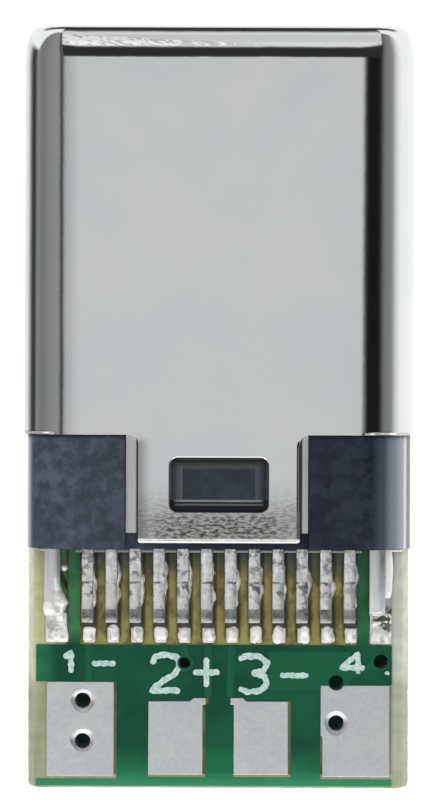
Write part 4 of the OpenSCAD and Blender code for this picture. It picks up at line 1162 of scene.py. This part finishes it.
# each mark's middle across the board and from the legs' ends, its half width and length, colour and share
marks = [
    (pad_right + 0.23, -0.4, 0.3, 0.4, (0.6, 0.6, 0.58), 0.7),
    (pad_right + 0.29, -0.12, 0.22, 0.08, soot, 0.9),
    (pad_right + 0.36, -0.28, 0.16, 0.11, soot, 0.85), (pad_right + 0.26, -0.53, 0.05, 0.08, grey, 0.9),
    (left_leg + 0.05, -0.2, 0.22, 0.15, grey, 0.6), (left_leg - 0.08, 0.08, 0.2, 0.2, white, 1),
    (pad_in - 0.15, -0.08, 0.13, 0.15, white, 1),
]
for x, from_leg, half_w, half_len, mark, share in marks:
    away = place.vector("SUBTRACT", (x, leg_end + from_leg, 0))
    far = away.vector("MULTIPLY", (1 / half_w, 1 / half_len, 0)).vector("LENGTH", output="Value")
    ragged = far + grain(place, 10, 3, 0.6) * 3.0
    heap_tone = blend(fade(ragged, 2.6, 2.1, 0, share), heap_tone, mark)
paint(shader, heap_tone)
ball_x, ball_y, ball_r = pad_in - 0.06, board_front - 0.42, 0.075
ball = [(ball_r * math.cos(t), ball_r * math.sin(t) + 0.003, 0.01 + 0.1 * math.sin(t))
        for t in (math.pi * k / 8 for k in range(9))]
# each heap has a place along the board, one for its left side, one for its right side, how lumpy it is, and
# stations from the front that add to these places and give a height
heaps = [
    (board_front, left_leg, left_leg, 0.06, [
        (-0.54, 0.05, 0.08, 0.19), (-0.66, 0.02, 0.11, 0.235), (-0.88, -0.01, 0.2, 0.24),
        (-1.04, -0.03, 0.28, 0.24), (-1.15, -0.05, 0.34, 0.225), (-1.25, -0.07, 0.29, 0.21),
        (-1.36, -0.11, 0.25, 0.2), (-1.43, -0.11, 0.24, 0.06)]),
    (leg_end, left_leg, left_leg, 0.1, [
        (0.3, -0.13, -0.03, 0.19), (0.2, -0.19, 0.06, 0.28), (0.08, -0.2, 0.13, 0.31),
        (-0.02, -0.19, 0.12, 0.25), (-0.07, -0.16, 0.06, 0.05)]),
    (leg_end, pad_in, pad_in, 0.2, [
        (0.02, -0.24, -0.06, 0.16), (-0.08, -0.24, -0.05, 0.2), (-0.2, -0.22, -0.06, 0.05)]),
    (leg_end, pad_outer, pad_in, 0.3, [
        (-0.02, 0.04, -0.02, 0.03), (-0.3, 0.02, 0, 0.04), (-0.5, 0.01, 0.03, 0.08),
        (shield_low[1] + 0.01 - leg_end, 0.02, 0.02, 0.03)]),
    (ball_y, ball_x, ball_x, 0.02, [(y, -reach, reach, height) for y, reach, height in ball]),
    (board_front, pad_outer, left_leg, 0.1, [
        (-0.01, -0.22, 0, 0.08), (-0.03, -0.2, 0, 0.1), (-0.07, -0.1, -0.05, 0.02)]),
    (board_front, leg_outer, pad_far, 0.1, [
        (-0.02, -0.02, 0.01, 0.1), (-0.4, -0.02, 0.03, 0.1), (-0.9, -0.02, 0.01, 0.1),
        (-1.04, -0.02, -0.03, 0.02)]),
    (board_front, leg_outer, pad_far, 0.1, [
        (-0.01, 0, 0.24, 0.06), (-0.03, 0, 0.25, 0.08), (-0.06, 0, 0.2, 0.04)]),
    (leg_end, leg_inner, leg_outer, 0.1, [
        (0.09, 0, -0.03, leg_rise), (0.04, -0.01, 0, 0.24), (-0.04, 0, -0.02, 0.12)]),
    (leg_end, pad_right, pad_far, 0.6, [
        (0, 0.06, -0.02, 0.05), (-0.14, 0.05, 0, 0.1), (-0.3, 0.02, 0, 0.03), (-0.45, 0.01, 0, 0.06),
        (shield_high[1] - 1.98 - leg_end, 0.02, -0.01, 0.03)]),
]
bm = bmesh.new()
for seed, (y0, left0, right0, lumps, stations) in enumerate(heaps):
    placed = [(y0 + y, left0 + left, right0 + right, height) for y, left, right, height in stations]
    solder_patch(bm, placed, pad_top - heap_root, lumps, seed)
leg_heaps = new_piece("leg_solder_heaps", bm, mend=True)
finish_piece(leg_heaps, "solder", "leg_solder", material=burnt_solder, smooth=80)


# Studio: a plain white table, a soft box of light overhead that ends close to the plug mouth, dark gaps round
# it and grey walls, all seen only as light and reflection, and a camera straight above the board.
floor_half = 0.6
bm = bmesh.new()
bmesh.ops.create_grid(bm, x_segments=1, y_segments=1, size=floor_half / mm)
floor = new_piece("table", bm)
floor.data.transform(Matrix.Scale(mm, 4))
table_white, shader, place, *_ = new_finish(
    "table_white", Roughness=0.9, Specular_IOR_Level=0.0, Emission_Strength=0.45,
    Emission_Color=(1, 1, 1, 1))
paint(shader, blend(grain(place, 0.05, 2), (0.92, 0.92, 0.92), (0.96, 0.96, 0.96)))
floor.data.materials.append(table_white)
floor.visible_glossy = False

world = bpy.data.worlds.new("studio")
bpy.context.scene.world = world
world.use_nodes = True
world.cycles.sampling_method = "NONE"
tree = world.node_tree
tree.nodes.clear()
to_x, to_y, to_z = split(Level(add(tree, "ShaderNodeTexCoord"), "Generated"))
degrees = 180 / math.pi


def bands(angle, *stops):
    """Grey levels of the studio at angles between -180 and 180 degrees from straight up."""
    turn_share = {"Value": angle, 1: -180.0, 2: 180.0, 3: 0.0, 4: 1.0}
    ramp = add(tree, "ShaderNodeValToRGB", {0: Level(add(tree, "ShaderNodeMapRange", turn_share))})
    elements = ramp.color_ramp.elements
    for k, (turn, grey) in enumerate(stops):
        spot = (turn + 180) / 360
        element = elements[k] if k < 2 else elements.new(spot)
        element.position, element.color = spot, (grey, grey, grey, 1)
    return Level(ramp)


reach, ahead = abs(to_x), to_y | 0
inward = reach - ahead * 0.25 | 0
side_turn = work("ARCTAN2", inward * work("SIGN", to_x), to_z) * degrees
front_turn = work("ARCTAN2", to_y, to_z) * degrees
front_rise = work("ARCSINE", to_y) * degrees
left_bands = bands(
    side_turn, (-180, 0.95), (-140, 0.95), (-131, 0.6), (-124, 0.25), (-117, 0.06), (-109, 0.05),
    (-104, 0.16), (-99, 0.31), (-93, 0.26), (-85, 0.22), (-60, 0.3), (-46, 0.33), (-43, 0.26), (-40, 0.09),
    (-36, 0.09), (-32, 0.42), (-28, 0.52), (-20, 0.58), (-10, 0.65), (-3, 0.7))
right_bands = bands(
    side_turn, (3, 0.7), (6, 0.6), (9, 0.35), (12, 0.1), (16, 0.025), (20, 0.012), (38, 0.012), (42, 0.025),
    (46, 0.077), (51, 0.187), (55, 0.23), (63, 0.26), (70, 0.31), (75, 0.48), (81, 0.77), (87, 0.92),
    (96, 1.09), (130, 1.13))
front_bands = bands(
    front_turn, (29, 0.3), (34, 0.9), (40, 0.9), (46, 0.74), (60, 0.7), (65, 0.9), (69, 0.62), (72, 0.2),
    (77, 0.04), (100, 0.04), (106, 0.1), (120, 0.3), (140, 0.75), (150, 1.0), (180, 1.0))
in_side = fade(side_turn, 42, 46) | fade(side_turn, -33, -36)
in_middle = work("SUBTRACT", 1.0, in_side)
wall_foot = ahead * 0.58 - reach * 0.295
below_wall = in_side * fade(wall_foot - to_z, -0.01, 0.03) * fade(ahead, 0.24, 0.32)
mouth_dark = fade(ahead + reach * 0.2, 0.76, 0.88) * fade(to_z + reach * 0.6, 0.34, 0.2)
mouth_dark *= fade(to_z, -0.55, -0.2)
far_wall = fade(front_rise, -57, -62) * fade(to_z, 0.02, 0.1)
gap_grey, foot_grey, mouth_grey, back_grey, lamp_white, far_grey = (
    (level,) * 3 for level in (0.03, 1.1, 0.04, 0.85, 3, 0.72))
studio = lay(
    blend(fade(to_x, -0.01, 0.01), left_bands, right_bands),
    (in_middle * fade(front_rise, 8.6, 10), gap_grey),
    (in_middle * fade(front_rise, 29, 35), front_bands),
    (below_wall, foot_grey),
    (mouth_dark, mouth_grey),
    (fade(front_rise, -14, -26), back_grey),
    (fade(front_rise, -42, -50), lamp_white),
    (far_wall, far_grey),
)
soft_sky = Level(add(tree, "ShaderNodeMapRange", {"Value": to_z, 1: -0.2, 2: 0.8, 3: 0.55, 4: 1.15}))
soft_light = Level(add(tree, "ShaderNodeCombineColor", {0: soft_sky, 1: soft_sky, 2: soft_sky}))
paths = add(tree, "ShaderNodeLightPath")
seen = lay((1, 1, 1), (Level(paths, "Is Glossy Ray"), studio), (Level(paths, "Is Diffuse Ray"), soft_light))
sky = add(tree, "ShaderNodeBackground", {"Color": seen})
tree.links.new(sky.outputs[0], add(tree, "ShaderNodeOutputWorld").inputs["Surface"])

image_h, pixels_per_mm = 800, 47.2
camera_x, camera_y, camera_height, camera_roll = -0.015, 0.167, 60.0, 0.2
lens_sensor = 36.0
camera = bpy.data.objects.new("camera", bpy.data.cameras.new("camera"))
bpy.context.scene.collection.objects.link(camera)
camera.data.sensor_width = lens_sensor
camera.data.lens = lens_sensor * camera_height * pixels_per_mm / image_h
camera.data.clip_start, camera.data.clip_end = 1 * mm, 10
camera.location = (camera_x * mm, camera_y * mm, (mid_z + camera_height) * mm)
camera.rotation_euler = (0, 0, math.radians(camera_roll))
bpy.context.scene.camera = camera
bpy.context.scene.view_settings.view_transform = "Standard"
bpy.context.scene.cycles.use_denoising = True
